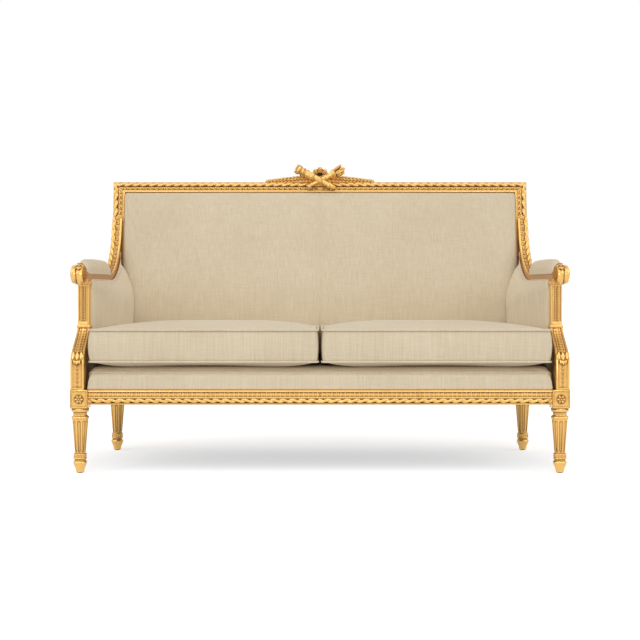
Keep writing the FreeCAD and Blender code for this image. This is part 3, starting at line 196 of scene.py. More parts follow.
def border(width, height, thickness, depth):
    """A raised square-edged frame on the XY plane about the origin, facing +Z."""
    rings = []
    for sx, sy in ((-1, -1), (1, -1), (1, 1), (-1, 1)):
        outer = np.array((sx * width / 2, sy * height / 2))
        inner = outer - np.array((sx, sy)) * thickness
        edge = outer - np.array((sx, sy)) * 0.6
        slope = inner + np.array((sx, sy)) * thickness * 0.3
        rings.append([(*outer, -depth), (*outer, -0.4), (*edge, 0), (*slope, 0), (*inner, -depth)])
    return shell(rings, endless=True)


def rosette(radius):
    """A patera: petals about a button inside a ring, facing +Z."""
    ring = lathe(turned_line((radius - 1.8, -1.5), (radius - 1.6, 0), (radius + 0.6, 0, 1.2),
                             (radius + 0.8, -1.5)), 40)
    petal = leaf(*petal_size).moved(2.5, 0, 0)
    sepal = leaf(petal_size[0] + 1.5, 5, 1.8).moved(2, 0, -0.3)
    petals = [petal.turned("Z", k * 360 / petal_count) for k in range(petal_count)]
    between = [sepal.turned("Z", (k + 0.5) * 360 / petal_count) for k in range(petal_count)]
    button = lathe(turned_line((3.9, -1), (3.6, 2.0), (0.3, 4.2, 0.9)), 20)
    return joined([ring, button] + petals + between)


def leg_flutes(angle, height, radius):
    """Depth of the hollow flutes, each with an arched end and a rounded reed left inside it."""
    pitch = 2 * math.pi / flute_count
    place = (angle + math.pi / 2) / pitch
    off = (place - np.round(place)) * pitch * radius
    half = flute_share * pitch * radius
    near_end = np.minimum(height - flute_low, flute_high - height)
    arch = np.sqrt(np.clip(1 - np.clip(1 - near_end / half, 0, 1) ** 2, 0, 1)) * (near_end > 0)
    wide = np.maximum(half * arch, 1e-6)
    inside = np.clip(1 - (off / wide) ** 2, 0, 1)
    reed = np.clip(1 - (off / (0.62 * wide)) ** 2, 0, 1)
    return flute_depth * (np.sqrt(inside) - 0.42 * np.sqrt(reed)) * (arch > 0.05)


def leg(faces):
    """One turned and fluted leg; faces are the turns about Z of the block faces that carry a rosette."""
    foot = turned_line(
        (13.4, 3), (13.7, 9), (15.2, 15), (20.4, 27), (22, 31.5), (22, 37, 0.8), (18.3, 41), (18.3, 45.5),
        (21.6, 46.5), (21.6, 49.5, 0.6), (20.2, 50.5), (20.2, 59.5), (21.4, 60.5), (21.4, 63.5, 0.6),
        (17.6, 64.5))
    head = turned_line(
        (26.6, 178), (27.8, 179), (27.8, 186.5, 1.4), (25, 188), (23, 194, -1.2), (23, 200.5), (27.4, 201.5),
        (27.4, 213.5, 2.2), (24, 214.5))
    heights = [*np.linspace(shaft_low, 82, 11), *np.linspace(88, 154, 12), *np.linspace(160, shaft_high, 11)]
    taper = [(shaft_foot + (shaft_head - shaft_foot) * (z - shaft_low) / (shaft_high - shaft_low), z)
             for z in heights]
    profile = np.vstack((foot, taper, head))
    bead = lathe(turned_line((1.6, -1), (1.5, 0), (0.2, 1.5, 0.5)), 8).turned("X", 90).moved(0, -20.4, 55)
    beads = [bead.turned("Z", k * 360 / bead_count) for k in range(bead_count)]
    size = block_half - border_depth
    block = rounded_box((-size, -size, block_bottom), (size, size, seat_top))
    parts = [lathe(profile, leg_sides, leg_flutes), block] + beads
    middle = (block_bottom + seat_top) / 2
    block_size = (2 * block_half, seat_top - block_bottom)
    plain = border(*block_size, 3 * border_width, border_depth).moved(0, 0, block_half)
    carved = border(*block_size, border_width, border_depth).moved(0, 0, block_half)
    patera = rosette(rosette_radius)
    patera.points[:, 2] *= rosette_relief
    carved += patera.moved(0, 0, size)
    for turn in (0, 90, 180, 270):
        field = carved if turn in faces else plain
        parts.append(field.turned("X", 90).moved(0, 0, middle).turned("Z", turn))
    return joined(parts)


class Value:
    """One output of a node: arithmetic on it adds Math nodes to its tree."""

    def __init__(self, tree, socket):
        self.tree = tree
        self.socket = socket

    def math(self, operation, *others):
        return self.tree.node("ShaderNodeMath", {"operation": operation},
                              dict(enumerate((self,) + others)))[0]

    def __add__(self, other):
        return self.math("ADD", other)

    def __radd__(self, other):
        return self.math("ADD", other)

    def __sub__(self, other):
        return self.math("SUBTRACT", other)

    def __rsub__(self, other):
        return self.tree.node("ShaderNodeMath", {"operation": "SUBTRACT"}, {0: other, 1: self})[0]

    def __mul__(self, other):
        return self.math("MULTIPLY", other)

    def __rmul__(self, other):
        return self.math("MULTIPLY", other)

    def __truediv__(self, other):
        return self.math("DIVIDE", other)

    def clamped(self):
        return self.math("MAXIMUM", 0.0).math("MINIMUM", 1.0)

    def wave(self):
        return self.math("SINE") * 0.5 + 0.5


class Nodes:
    """A node tree with one way of adding a node."""

    def __init__(self, tree):
        self.tree = tree

    def node(self, kind, settings=None, inputs=None):
        made = self.tree.nodes.new(kind)
        for name, setting in (settings or {}).items():
            setattr(made, name, setting)
        for name, value in (inputs or {}).items():
            if isinstance(value, Value):
                self.tree.links.new(value.socket, made.inputs[name])
            else:
                made.inputs[name].default_value = value
        return [Value(self, output) for output in made.outputs]

    def mixed(self, factor, first, second):
        """Two colours mixed by a value."""
        return self.node("ShaderNodeMix", {"data_type": "RGBA"}, {0: factor, 6: first, 7: second})[2]

    def speckle(self, place, size, detail=2.0, stretch=(1, 1, 1)):
        """Noise with features of about that size in metres."""
        spot = self.node("ShaderNodeMapping", {}, {"Vector": place, "Scale": stretch})[0]
        return self.node("ShaderNodeTexNoise", {}, {"Vector": spot, "Scale": 1 / size, "Detail": detail})[0]


def colour(red, green, blue):
    """An 8-bit display colour as the linear one that a shader takes."""
    return tuple(((c / 255 + 0.055) / 1.055) ** 2.4 for c in (red, green, blue)) + (1.0,)


def finish_of(name, **constants):
    """A new material with even values set on its shader; gives the material, its nodes and its shader."""
    material = bpy.data.materials.new(name)
    material.use_nodes = True
    shader = material.node_tree.nodes["Principled BSDF"]
    for socket, value in constants.items():
        shader.inputs[socket.replace("_", " ")].default_value = value
    return material, Nodes(material.node_tree), shader


def gilding(name, light, deep, clay, clay_and_painted_shade=2.3):
    """Leaf gold over red clay: leaves of slightly different tone and clay where rubbed; the clay in small
    hollows is partly real clay and partly painted shade, and deep recesses take the darker gold as painted
    shade.
    """
    material, nodes, shader = finish_of(name, Specular_IOR_Level=0.5)
    place = nodes.node("ShaderNodeTexCoord")[3]
    cover = {"samples": 8, "only_local": True}
    near = nodes.node("ShaderNodeAmbientOcclusion", cover, {"Distance": 0.010})[1]
    far = nodes.node("ShaderNodeAmbientOcclusion", cover, {"Distance": 0.045})[1]
    leaves = nodes.speckle(place, 0.05, 3.0)
    rub = nodes.speckle(place, 0.006, 4.0)
    grain = nodes.speckle(place, 0.0012, 2.0)
    # Painted shade: the near occlusion mixes clay into small hollows (partly real clay, partly shade) and the
    # far one darkens deep recesses towards the darker gold.
    hollow = ((0.88 - near) * clay_and_painted_shade + (rub - 0.5) * 0.45).clamped()
    leaf_tone_and_painted_shade = ((0.88 - far) * 1.7 + (leaves - 0.5) * 0.9 + 0.14).clamped()
    worn = ((rub - 0.6) * 3.0).clamped() * 0.4
    gold = nodes.mixed(worn, nodes.mixed(leaf_tone_and_painted_shade, light, deep), deep)
    links = material.node_tree.links
    links.new(nodes.mixed(hollow, gold, clay).socket, shader.inputs["Base Color"])
    links.new((0.55 - hollow * 0.5).socket, shader.inputs["Metallic"])
    links.new((0.2 + hollow * 0.4 + (rub - 0.5) * 0.16).socket, shader.inputs["Roughness"])
    bump = nodes.node("ShaderNodeBump", {}, {"Strength": 0.4, "Distance": 0.0006,
                                             "Height": rub * 0.7 + grain * 0.3})[0]
    links.new(bump.socket, shader.inputs["Normal"])
    return material


gold_tones = (colour(238, 190, 108), colour(186, 126, 52), colour(108, 54, 20))
gilt = gilding("leaf_gold_over_clay", *gold_tones)
# The legs' gilding doubles the hollow darkening, which paints shade into the flutes and rings.
leg_gilt = gilding("leaf_gold_with_painted_shade_in_flutes", *gold_tones, clay_and_painted_shade=4.6)


def finished(name, shape, material, replaced, body="frame", edge=38):
    """A piece as an object, with outward faces, that rides on a body and stands for CAD nodes."""
    mesh = bpy.data.meshes.new(name)
    mesh.from_pydata(shape.points.tolist(), [], shape.faces)
    work = bmesh.new()
    work.from_mesh(mesh)
    bmesh.ops.recalc_face_normals(work, faces=work.faces)
    work.to_mesh(mesh)
    work.free()
    mesh.shade_smooth()
    mesh.set_sharp_from_angle(angle=math.radians(edge))
    mesh.materials.append(material)
    piece = bpy.data.objects.new(name, mesh)
    bpy.context.scene.collection.objects.link(piece)
    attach(piece, body)
    if replaced:
        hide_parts(*replaced)
    return piece


def gilded(name, shape, replaced, material=gilt):
    """A gilded piece of the show-wood."""
    finished(name, shape, material, replaced)


def both_sides(name, shape, replaced, material=gilt):
    """The right-hand gilded piece and its mirror image on the left."""
    gilded(f"{name}_right", shape, [f"{node}_right" for node in replaced], material)
    gilded(f"{name}_left", shape.mirrored(), [f"{node}_left" for node in replaced], material)


def upright(x, y):
    """The frame of a vertical part that stands on the floor at a place in millimetres."""
    return millimetre @ Matrix.Translation((x, y, 0))


front_leg = leg((0, 90)).placed(upright(front_leg_x, front_leg_y))
both_sides("carved_front_leg", front_leg, ["front_leg"], leg_gilt)

# Glides: turned plastic buttons nailed under the feet, so that the gilding does not scuff.
# They stay as the CAD model has them, with a worn brown plastic finish.
glide_plastic, glide_nodes, glide_shader = finish_of("worn_brown_plastic", Roughness=0.5)
glide_place = glide_nodes.node("ShaderNodeTexCoord")[3]
glide_wear = glide_nodes.speckle(glide_place, 0.003)
glide_colour = glide_nodes.mixed(glide_wear, colour(84, 62, 44), colour(120, 96, 74))
glide_plastic.node_tree.links.new(glide_colour.socket, glide_shader.inputs["Base Color"])


def dressed(node, material):
    """Gives a CAD node that stays as it is a better material."""
    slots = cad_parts[node].material_slots
    for slot in slots:
        slot.material = material
    if not slots:
        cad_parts[node].data.materials.append(material)


dressed("foot_glides", glide_plastic)

# Seat rails: beech planed to a moulded face, tenoned into the leg blocks and gilded where they show.
# Below a smooth fillet runs a row of carved leaves, then a plain band and a twisted rope.
rail_low, rail_high = (1000 * np.array(corner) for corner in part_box("front_seat_rail"))
rail_face = rail_low[1]
rail_back = rail_high[1]
rail_end = front_leg_x - block_half
rail_top, rail_bottom = rail_high[2], rail_low[2]
rail_fillet, rail_band, rail_plain, rail_rope = 7, 15, 6, 16
rail_leaf_spacing = 15.2
rope_pitch = 31.5
skew = math.atan2(front_leg_x - rear_leg_x, rear_leg_y - front_leg_y)
side_length = math.hypot(front_leg_x - rear_leg_x, rear_leg_y - front_leg_y)
side_frame = millimetre @ Matrix.Translation((front_leg_x, front_leg_y, 0)) @ Matrix.Rotation(skew, 4, "Z")


def path_object(name, points, closed=False):
    """A bare path through points, for the ornament that follows it."""
    line = bpy.data.curves.new(name, "CURVE")
    line.dimensions = "3D"
    spline = line.splines.new("POLY")
    spline.points.add(len(points) - 1)
    spline.points.foreach_set("co", np.hstack((np.array(points, float), np.ones((len(points), 1)))).ravel())
    spline.use_cyclic_u = closed
    path = bpy.data.objects.new(name, line)
    bpy.context.scene.collection.objects.link(path)
    return path


def new_tree(name, sizes):
    """An empty geometry tree with named inputs; gives it, its nodes, its inputs and their identifiers."""
    tree = bpy.data.node_groups.new(name, "GeometryNodeTree")
    tree.interface.new_socket("Path", in_out="INPUT", socket_type="NodeSocketGeometry")
    tree.interface.new_socket("Result", in_out="OUTPUT", socket_type="NodeSocketGeometry")
    names = {}
    for size, kind in sizes.items():
        names[size] = tree.interface.new_socket(size, in_out="INPUT", socket_type=kind).identifier
    nodes = Nodes(tree)
    given = dict(zip(["Path", *sizes], nodes.node("NodeGroupInput")))
    return tree, nodes, given, names


def close_tree(nodes, geometry, material):
    """Ends a geometry tree in real, finished geometry."""
    real = nodes.node("GeometryNodeRealizeInstances", {}, {0: geometry})[0]
    done = nodes.node("GeometryNodeSetMaterial", {}, {"Geometry": real, "Material": material})[0]
    nodes.node("NodeGroupOutput", {}, {0: done})


rope_tree, rope_nodes, rope_given, rope_names = new_tree("twisted_rope", {
    "Step": "NodeSocketFloat", "Twist": "NodeSocketFloat", "Section": "NodeSocketObject",
    "Finish": "NodeSocketMaterial"})
rope_line = rope_nodes.node("GeometryNodeResampleCurve", {"mode": "LENGTH"},
                            {"Curve": rope_given["Path"], "Length": rope_given["Step"]})[0]
rope_way = rope_nodes.node("GeometryNodeSplineParameter")[1]
rope_tilt = rope_way * rope_given["Twist"]
rope_line = rope_nodes.node("GeometryNodeSetCurveTilt", {}, {"Curve": rope_line, "Tilt": rope_tilt})[0]
rope_section = rope_nodes.node("GeometryNodeObjectInfo", {}, {"Object": rope_given["Section"]})[4]
rope_skin = rope_nodes.node("GeometryNodeCurveToMesh", {}, {"Curve": rope_line, "Profile Curve": rope_section,
                                                            "Fill Caps": True})[0]
close_tree(rope_nodes, rope_skin, rope_given["Finish"])

row_tree, row_nodes, row_given, row_names = new_tree("carved_row", {
    "Spacing": "NodeSocketFloat", "Ornament": "NodeSocketObject", "Across": "NodeSocketVector",
    "Last Size": "NodeSocketFloat", "Finish": "NodeSocketMaterial"})
row_points = row_nodes.node("GeometryNodeCurveToPoints", {"mode": "LENGTH"},
                            {"Curve": row_given["Path"], "Length": row_given["Spacing"]})
row_turn = row_nodes.node("FunctionNodeAxesToRotation", {"primary_axis": "X", "secondary_axis": "Y"},
                          {"Primary Axis": row_points[1], "Secondary Axis": row_given["Across"]})[0]
row_count = row_nodes.node("GeometryNodeAttributeDomainSize", {"component": "POINTCLOUD"},
                           {0: row_points[0]})[0]
row_index = row_nodes.node("GeometryNodeInputIndex")[0]
row_scale = 1 + (row_given["Last Size"] - 1) * (row_index / (row_count.math("MAXIMUM", 2) - 1))
row_ornament = row_nodes.node("GeometryNodeObjectInfo", {}, {"Object": row_given["Ornament"]})[4]
row_copies = row_nodes.node("GeometryNodeInstanceOnPoints", {}, {
    "Points": row_points[0], "Instance": row_ornament, "Rotation": row_turn, "Scale": row_scale})[0]
close_tree(row_nodes, row_copies, row_given["Finish"])


def grown(path, tree, names, sizes):
    """Runs a geometry tree on a path, keeps the result as a form and clears the path away."""
    modifier = path.modifiers.new("ornament", "NODES")
    modifier.node_group = tree
    for size, value in sizes.items():
        modifier[names[size]] = value
    bpy.context.view_layer.update()
    result = bpy.data.meshes.new_from_object(path.evaluated_get(bpy.context.evaluated_depsgraph_get()))
    points = np.empty(3 * len(result.vertices))
    result.vertices.foreach_get("co", points)
    faces = [tuple(polygon.vertices) for polygon in result.polygons]
    bpy.data.meshes.remove(result)
    bpy.data.objects.remove(path)
    return Shape(points, faces)


def rope(points, radius, pitch, thin=0.6):
    """A two-strand twisted rope along a path, twisted one way or, with a negative pitch, the other."""
    turn = np.linspace(0, 2 * math.pi, 20, endpoint=False)
    size = radius * (thin + (1 - thin) * np.abs(np.cos(turn)) ** 1.3)
    outline = np.stack((size * np.cos(turn), size * np.sin(turn), 0 * turn), axis=1)
    section = path_object("rope_section", outline, True)
    twisted = grown(path_object("rope_path", points), rope_tree, rope_names, {
        "Step": 2.6, "Twist": math.pi / pitch, "Section": section, "Finish": gilt})
    bpy.data.objects.remove(section)
    return twisted


def row(points, ornament, across, spacing, last_size=1.0):
    """Copies of an ornament along a path, each turned to the path and to the direction across it."""
    mesh = bpy.data.meshes.new("ornament")
    mesh.from_pydata(ornament.points.tolist(), [], ornament.faces)
    carved = bpy.data.objects.new("ornament", mesh)
    bpy.context.scene.collection.objects.link(carved)
    copies = grown(path_object("row_path", points), row_tree, row_names, {
        "Spacing": spacing, "Ornament": carved, "Across": across, "Last Size": last_size, "Finish": gilt})
    bpy.data.objects.remove(carved)
    return copies


def moulding(profile, begin, end):
    """A moulded length along X: each point of a profile of (across, out) runs from its begin to its end."""
    start = [(begin(a), a, b) for a, b in profile]
    stop = [(end(a), a, b) for a, b in profile]
    return shell([start, stop])


def bowed(start, end, bow, parts=6):
    """A bowed run of profile points from one point to the next, without the first."""
    start, end = np.array(start, float), np.array(end, float)
    along = end - start
    out = np.array((-along[1], along[0])) / np.hypot(*along)
    ways = np.linspace(0, 1, parts + 1)[1:]
    return [tuple(start + along * way + out * bow * 4 * way * (1 - way)) for way in ways]


def rail_profile(depth):
    """The seat rail's section: across is up from the rail's foot, out is towards the room."""
    height = rail_top - rail_bottom
    rope_top = height - rail_fillet - rail_band - rail_plain
    fillet = bowed((height, -1.5), (height - rail_fillet, -0.6), 1.3)
    return [
        (0, -depth), (height, -depth), (height, -1.5), *fillet,
        (height - rail_fillet - 0.6, -5.2), (height - rail_fillet - rail_band, -6.0),
        (rope_top + rail_plain, -3.0), (rope_top, -3.2), (rope_top - 0.5, -8), (rope_top - rail_rope, -8),
        (rope_top - rail_rope - 0.5, -2.4), (0, -2.0)]


def facing(along, across, origin):
    """A frame whose X runs along a member, Y across its face and Z out of the face."""
    along, across = np.array(along, float), np.array(across, float)
    out = np.cross(along, across)
    turn = np.eye(4)
    turn[:3, 0], turn[:3, 1], turn[:3, 2], turn[:3, 3] = along, across, out, origin
    return Matrix(turn.tolist())


def tongue(width, height, relief):
    """One leaf of the carved band, its tip upward across the band, with a small dart beside it."""
    blade = leaf(height, width * 0.96, relief).turned("Z", 90)
    dart = leaf(height * 0.95, width * 0.44, relief * 0.85, 4, 2).turned("Z", 90)
    return blade.moved(0, -height / 2, 0) + dart.moved(width / 2, -height / 2, 0)


def rail_carving(length, start):
    """Leaf row and rope of a rail along X, across up from the rail's foot, out from its face."""
    height = rail_top - rail_bottom
    leaf_place = height - rail_fillet - rail_band / 2
    rope_place = height - rail_fillet - rail_band - rail_plain - rail_rope / 2
    leaf_bed, leaf_relief = -4.8, 3.2
    rope_bed, rope_radius = -8.2, 9.2
    leaves = row([(start + rail_leaf_spacing / 2, leaf_place, leaf_bed), (length - 4, leaf_place, leaf_bed)],
                 tongue(rail_leaf_spacing, rail_band - 0.5, leaf_relief), (0, 1, 0), rail_leaf_spacing)
    twist = rope([(start, rope_place, rope_bed), (length, rope_place, rope_bed)], rope_radius, -rope_pitch)
    return leaves + twist


front_rail = moulding(rail_profile(rail_back - rail_face), lambda a: -rail_end, lambda a: rail_end)
front_carving = rail_carving(rail_end - 0.5, 0)
front_rail = joined([front_rail, front_carving, front_carving.mirrored()])
front_rail_frame = facing((1, 0, 0), (0, 0, 1), (0, rail_face, rail_bottom))
gilded("carved_front_rail", front_rail.placed(millimetre @ front_rail_frame), ["front_seat_rail"])

side_rail_start = block_half / math.cos(skew)
side_rail_end = side_length - block_half / math.cos(skew)
side_rail_thick, side_rail_out = 30, 20
side_rail = moulding(rail_profile(side_rail_thick), lambda a: side_rail_start, lambda a: side_rail_end)
side_rail += rail_carving(side_rail_end - 0.5, side_rail_start + 0.5)
side_rail_frame = facing((0, 1, 0), (0, 0, 1), (side_rail_out, 0, rail_bottom))
both_sides("carved_side_rail", side_rail.placed(side_frame @ side_rail_frame), ["side_seat_rail"])
dressed("rear_seat_rail", gilt)

# Stretcher, corner blocks and screws: bare beech under the seat, glued and screwed across the corners.
# They stay as the CAD model has them, in oiled beech and blued steel.
beech, beech_nodes, beech_shader = finish_of("bare_beech", Roughness=0.62)
beech_place = beech_nodes.node("ShaderNodeTexCoord")[3]
beech_grain = beech_nodes.speckle(beech_place, 0.004, 4.0, (0.06, 1, 1))
beech_fleck = beech_nodes.speckle(beech_place, 0.0016, 2.0, (0.25, 1, 1))
beech_colour = beech_nodes.mixed((beech_grain - 0.2).clamped(), colour(214, 178, 132), colour(176, 132, 88))
beech_colour = beech_nodes.mixed(((beech_fleck - 0.6) * 3).clamped() * 0.5, beech_colour, colour(140, 96, 60))
beech_bump = beech_nodes.node("ShaderNodeBump", {}, {"Strength": 0.3, "Distance": 0.0005,
                                                     "Height": beech_grain})[0]
beech.node_tree.links.new(beech_colour.socket, beech_shader.inputs["Base Color"])
beech.node_tree.links.new(beech_bump.socket, beech_shader.inputs["Normal"])
steel, steel_nodes, steel_shader = finish_of("blued_steel", Metallic=1.0)
steel_place = steel_nodes.node("ShaderNodeTexCoord")[3]
steel_rub = steel_nodes.speckle(steel_place, 0.002)
steel_colour = steel_nodes.mixed(steel_rub, colour(150, 150, 154), colour(188, 188, 190))
steel.node_tree.links.new(steel_colour.socket, steel_shader.inputs["Base Color"])
steel.node_tree.links.new((0.3 + steel_rub * 0.2).socket, steel_shader.inputs["Roughness"])
for bare_node in ("centre_stretcher", "corner_blocks", "lower_back_rail",
                  "arm_board_left", "arm_board_right"):
    dressed(bare_node, beech)
dressed("corner_screws", steel)

# Back posts: each is one beech stick, turned and fluted below the seat and raked back above it as the stile.
# The stile's face is moulded as a smooth fillet, a band of carved leaf scrolls and a twisted rope outside.
back_tilt = math.radians(5.3)
stile_width, stile_depth, stile_length = 44, 42, 703
stile_inner = rear_leg_x - stile_width / 2
back_fillet, back_band, back_rope = 8, 17, 19
crest_height, crest_band = 40, 13
scroll_spacing = 20
back_leaf_out, back_leaf_relief = 3.9, 3.6
back_rope_out, back_rope_radius = 9.4, 10.2
back_y = rear_leg_y - stile_depth / 2
back_frame = millimetre @ Matrix.Translation((0, back_y, seat_top)) @ Matrix.Rotation(-back_tilt, 4, "X")


def back_profile(band, depth):
    """Section of the back frame: across is from the inner edge outwards, out is to the front."""
    rope_start = back_fillet + band
    return [(0, -depth), (0, -2)] + bowed((0, -2), (back_fillet, -0.8), 1.6) + [
        (back_fillet + 0.6, -3.6), (rope_start - 0.4, -3.8), (rope_start, -8), (rope_start + back_rope, -8),
        (rope_start + back_rope, -depth)]


def leaf_scroll(length, width, relief):
    """One repeat of the band: a curled leaf with a smaller one answering it."""
    turn = np.linspace(0, 1.5 * math.pi, 10)
    shrink = 1 - 0.1 * turn
    curl = np.stack((length * 0.24 * shrink * np.cos(turn), width * 0.36 * shrink * np.sin(turn),
                     relief * (0.3 + 0.08 * turn)), axis=1)
    rings = []
    for k, point in enumerate(curl):
        size = 2.3 - 0.1 * k
        side = np.array((math.cos(turn[k]), math.sin(turn[k]), 0))
        rings.append([point + side * size * c + np.array((0, 0, size * s))
                      for c, s in ((1, -0.8), (0.8, 0.6), (0, 1), (-0.8, 0.6), (-1, -0.8))])
    spray = leaf(length * 0.62, width * 0.5, relief * 0.8, 5, 2).turned("Z", 35)
    bud = leaf(length * 0.5, width * 0.42, relief * 0.8, 5, 2).turned("Z", 145)
    return joined([shell(rings), spray.moved(length * 0.1, -width * 0.4, 0),
                   bud.moved(length * 0.75, -width * 0.2, 0)])


stile_profile = back_profile(back_band, stile_depth)
stile = moulding(stile_profile, lambda a: -10, lambda a: stile_length)
stile_band = back_fillet + back_band / 2
stile_rope = back_fillet + back_band + back_rope / 2
stile += row([(12, stile_band, -back_leaf_out), (stile_length, stile_band, -back_leaf_out)],
             leaf_scroll(scroll_spacing, back_band - 2, back_leaf_relief), (0, 1, 0), scroll_spacing)
stile += rope([(6, stile_rope, -back_rope_out), (stile_length, stile_rope, -back_rope_out)],
              back_rope_radius, rope_pitch)
stile_frame = Matrix(((0, 1, 0, stile_inner), (0, 0, -1, 0), (1, 0, 0, 0), (0, 0, 0, 1)))
both_sides("carved_stile", stile.placed(back_frame @ stile_frame), ["back_post"])
both_sides("carved_rear_leg", leg((90,)).placed(upright(rear_leg_x, rear_leg_y)), [], leg_gilt)

# Crest rail: beech, mitred in look to the stiles and dowelled on their tops.
# Its face carries the stiles' fillet, leaf scrolls and rope round the corners and along the top.
crest_ratio = stile_width / crest_height


def crest_profile(depth):
    """The crest's section, which squeezes the stile's band so that both meet on the mitre."""
    squeezed = []
    for across, out in back_profile(back_band, depth):
        inner = min(across, back_fillet)
        band = min(max(across - back_fillet, 0), back_band) * crest_band / back_band
        squeezed.append((inner + band + max(across - back_fillet - back_band, 0), out))
    return squeezed


crest_main = moulding(crest_profile(stile_depth), lambda a: -stile_inner - a * crest_ratio,
                      lambda a: stile_inner + a * crest_ratio)
crest_main = crest_main.placed(facing((1, 0, 0), (0, 0, 1), (0, 0, stile_length)))
corner = moulding(stile_profile, lambda a: 0, lambda a: a / crest_ratio)
corner = corner.placed(Matrix(((0, 1, 0, stile_inner), (0, 0, -1, 0), (1, 0, 0, stile_length), (0, 0, 0, 1))))
crest_rope_z = stile_length + crest_height - back_rope / 2
crest_band_z = stile_length + back_fillet + crest_band / 2
corner_rope_x = stile_inner + stile_rope
crest_turn = [(0, crest_rope_z), (corner_rope_x - 4, crest_rope_z), (corner_rope_x - 1, crest_rope_z - 1),
              (corner_rope_x, crest_rope_z - 4), (corner_rope_x, stile_length)]
crest_carving = rope([(x, back_rope_out, z) for x, z in crest_turn], back_rope_radius, rope_pitch)
crest_band_end = stile_inner + back_fillet + 4
crest_carving += row([(14, back_leaf_out, crest_band_z), (crest_band_end, back_leaf_out, crest_band_z)],
                     leaf_scroll(scroll_spacing, crest_band, back_leaf_relief), (0, 0, 1), scroll_spacing)
crest = joined([crest_main, corner, corner.mirrored(), crest_carving, crest_carving.mirrored()])
gilded("carved_crest_rail", crest.placed(back_frame), ["crest_rail"])

# Arm supports: beech, carved from one piece and tenoned into the leg blocks.
# A panelled block with husks, a swept console faced with leaves, and a fluted post with a coin string.
support_u = 6
panel_top = 378
console_top = 475
post_top = 634
post_v = 92
post_half, post_shaft = 20, 18.2
panel_half = 22
husk_spacing = 13.5
post_flute_depth, post_flute_pitch = 3.4, 10
post_flute_half, post_reed_half = 3.6, 2.2


def swept_section(low_v, high_v, low_z, high_z, count=16):
    """Middle line of the console, as (v, z) points: an S sweep that leaves and arrives upright."""
    way = np.linspace(0, 1, count)
    ease = way * way * (3 - 2 * way)
    v = low_v + (high_v - low_v) * (0.35 * way + 0.65 * ease)
    return np.stack((v, low_z + (high_z - low_z) * way), axis=1)


panel_block = rounded_box((-panel_half, -panel_half + 3, seat_top), (panel_half, panel_half, panel_top), 1)
panel_edge = border(2 * panel_half, panel_top - seat_top, 9, 3).moved(0, 0, panel_half)
panel_middle = (seat_top + panel_top) / 2
husk = joined([leaf(14, 5.5, 3.4), leaf(12, 5, 2.6).turned("Z", 24), leaf(12, 5, 2.6).turned("Z", -24),
               lathe(turned_line((2.2, -1), (2.0, 1), (0.3, 2.4, 0.5)), 8)])
husks = row([(0, -panel_half + 3.4, panel_top - 14), (0, -panel_half + 3.4, seat_top + 18)], husk, (1, 0, 0),
            husk_spacing, 0.8)
support_parts = [panel_block, panel_edge.turned("X", 90).moved(0, 0, panel_middle), husks]

console_line = swept_section(0, post_v, panel_top - 2, console_top + 2)
console_half = np.linspace(panel_half, post_half, len(console_line))
console_rings = []
for (v, z), half in zip(console_line, console_half):
    fillet = 0.72 * half
    console_rings.append([(-half, v - half, z), (-fillet, v - half, z), (-fillet + 1.5, v - half + 3, z),
                          (fillet - 1.5, v - half + 3, z), (fillet, v - half, z), (half, v - half, z),
                          (half, v + half, z), (-half, v + half, z)])
support_parts.append(shell(console_rings))
console_face = [(0, v - half + 3, z) for (v, z), half in zip(console_line, console_half)]
side_leaf = leaf(18, 9, 4, 5, 2).turned("Y", -6)
scale_leaf = joined([leaf(22, 15, 5.5, 6, 4).turned("Y", -8), side_leaf.moved(0, 7.5, 0),
                     side_leaf.moved(0, -7.5, 0)])
support_parts.append(row(console_face[::-1], scale_leaf, (1, 0, 0), 12.5))
pearl = lathe(turned_line((2.0, -0.6), (2.3, 0.6), (0.3, 2.3, 0.7)), 8)
for edge_u in (-0.86, 0.86):
    edge_line = [(edge_u * half, v - half - 0.2, z) for (v, z), half in zip(console_line, console_half)]
    support_parts.append(row(edge_line, pearl, (1, 0, 0), 5.4))
cap_leaf = leaf(26, 16, 6).turned("Y", -70).turned("Z", 90)
support_parts += [cap_leaf.moved(x, -panel_half - 1.5 + abs(x) * 0.1, panel_top - 4) for x in (-13, 0, 13)]


def post_ring(z):
    """One section of the arm post, with three hollow flutes in its front and outer faces."""
    ends = min(z - console_top - 20, post_top - 16 - z)
    depth = post_flute_depth * math.sqrt(max(0.0, min(1.0, ends / 4)))
    face = []
    for k in range(41):
        across = -post_shaft + k * post_shaft / 20
        flute = min(abs(across), abs(across - post_flute_pitch), abs(across + post_flute_pitch))
        sunk = depth * math.sqrt(max(0.0, 1 - (flute / post_flute_half) ** 2))
        reed = 0.5 * depth * math.sqrt(max(0.0, 1 - (flute / post_reed_half) ** 2))
        face.append((across, sunk - reed))
    front = [(x, post_v - post_shaft + sunk, z) for x, sunk in face]
    outer = [(post_shaft - sunk, post_v + y, z) for y, sunk in face[1:]]
    rear = [(x, post_v + post_shaft, z) for x in np.linspace(post_shaft, -post_shaft, 6)[1:]]
    inner = [(-post_shaft, post_v + y, z) for y in np.linspace(post_shaft, -post_shaft, 6)[1:-1]]
    return front + outer + rear + inner


post_heights = [console_top, *np.linspace(console_top + 19.5, console_top + 25, 6),
                *np.linspace(post_top - 22, post_top - 15.5, 6), post_top]
support_parts.append(shell([post_ring(z) for z in post_heights]))
coin = lathe(turned_line((2.0, -1.4), (3.3, -1.2), (3.3, 1.2, 0.5), (2.0, 1.4)), 14).turned("Y", 90)
coin_v = post_v - post_shaft + 1.4
support_parts.append(row([(0, coin_v, console_top + 28), (0, coin_v, post_top - 28)], coin, (1, 0, 0), 5.2))


def squared(*steps):
    """A square moulding round the post, from a profile of (half width, height)."""
    corners = ((-1, -1), (1, -1), (1, 1), (-1, 1))
    return shell([[(sx * r, post_v + sy * r, z) for sx, sy in corners] for r, z in turned_line(*steps)])


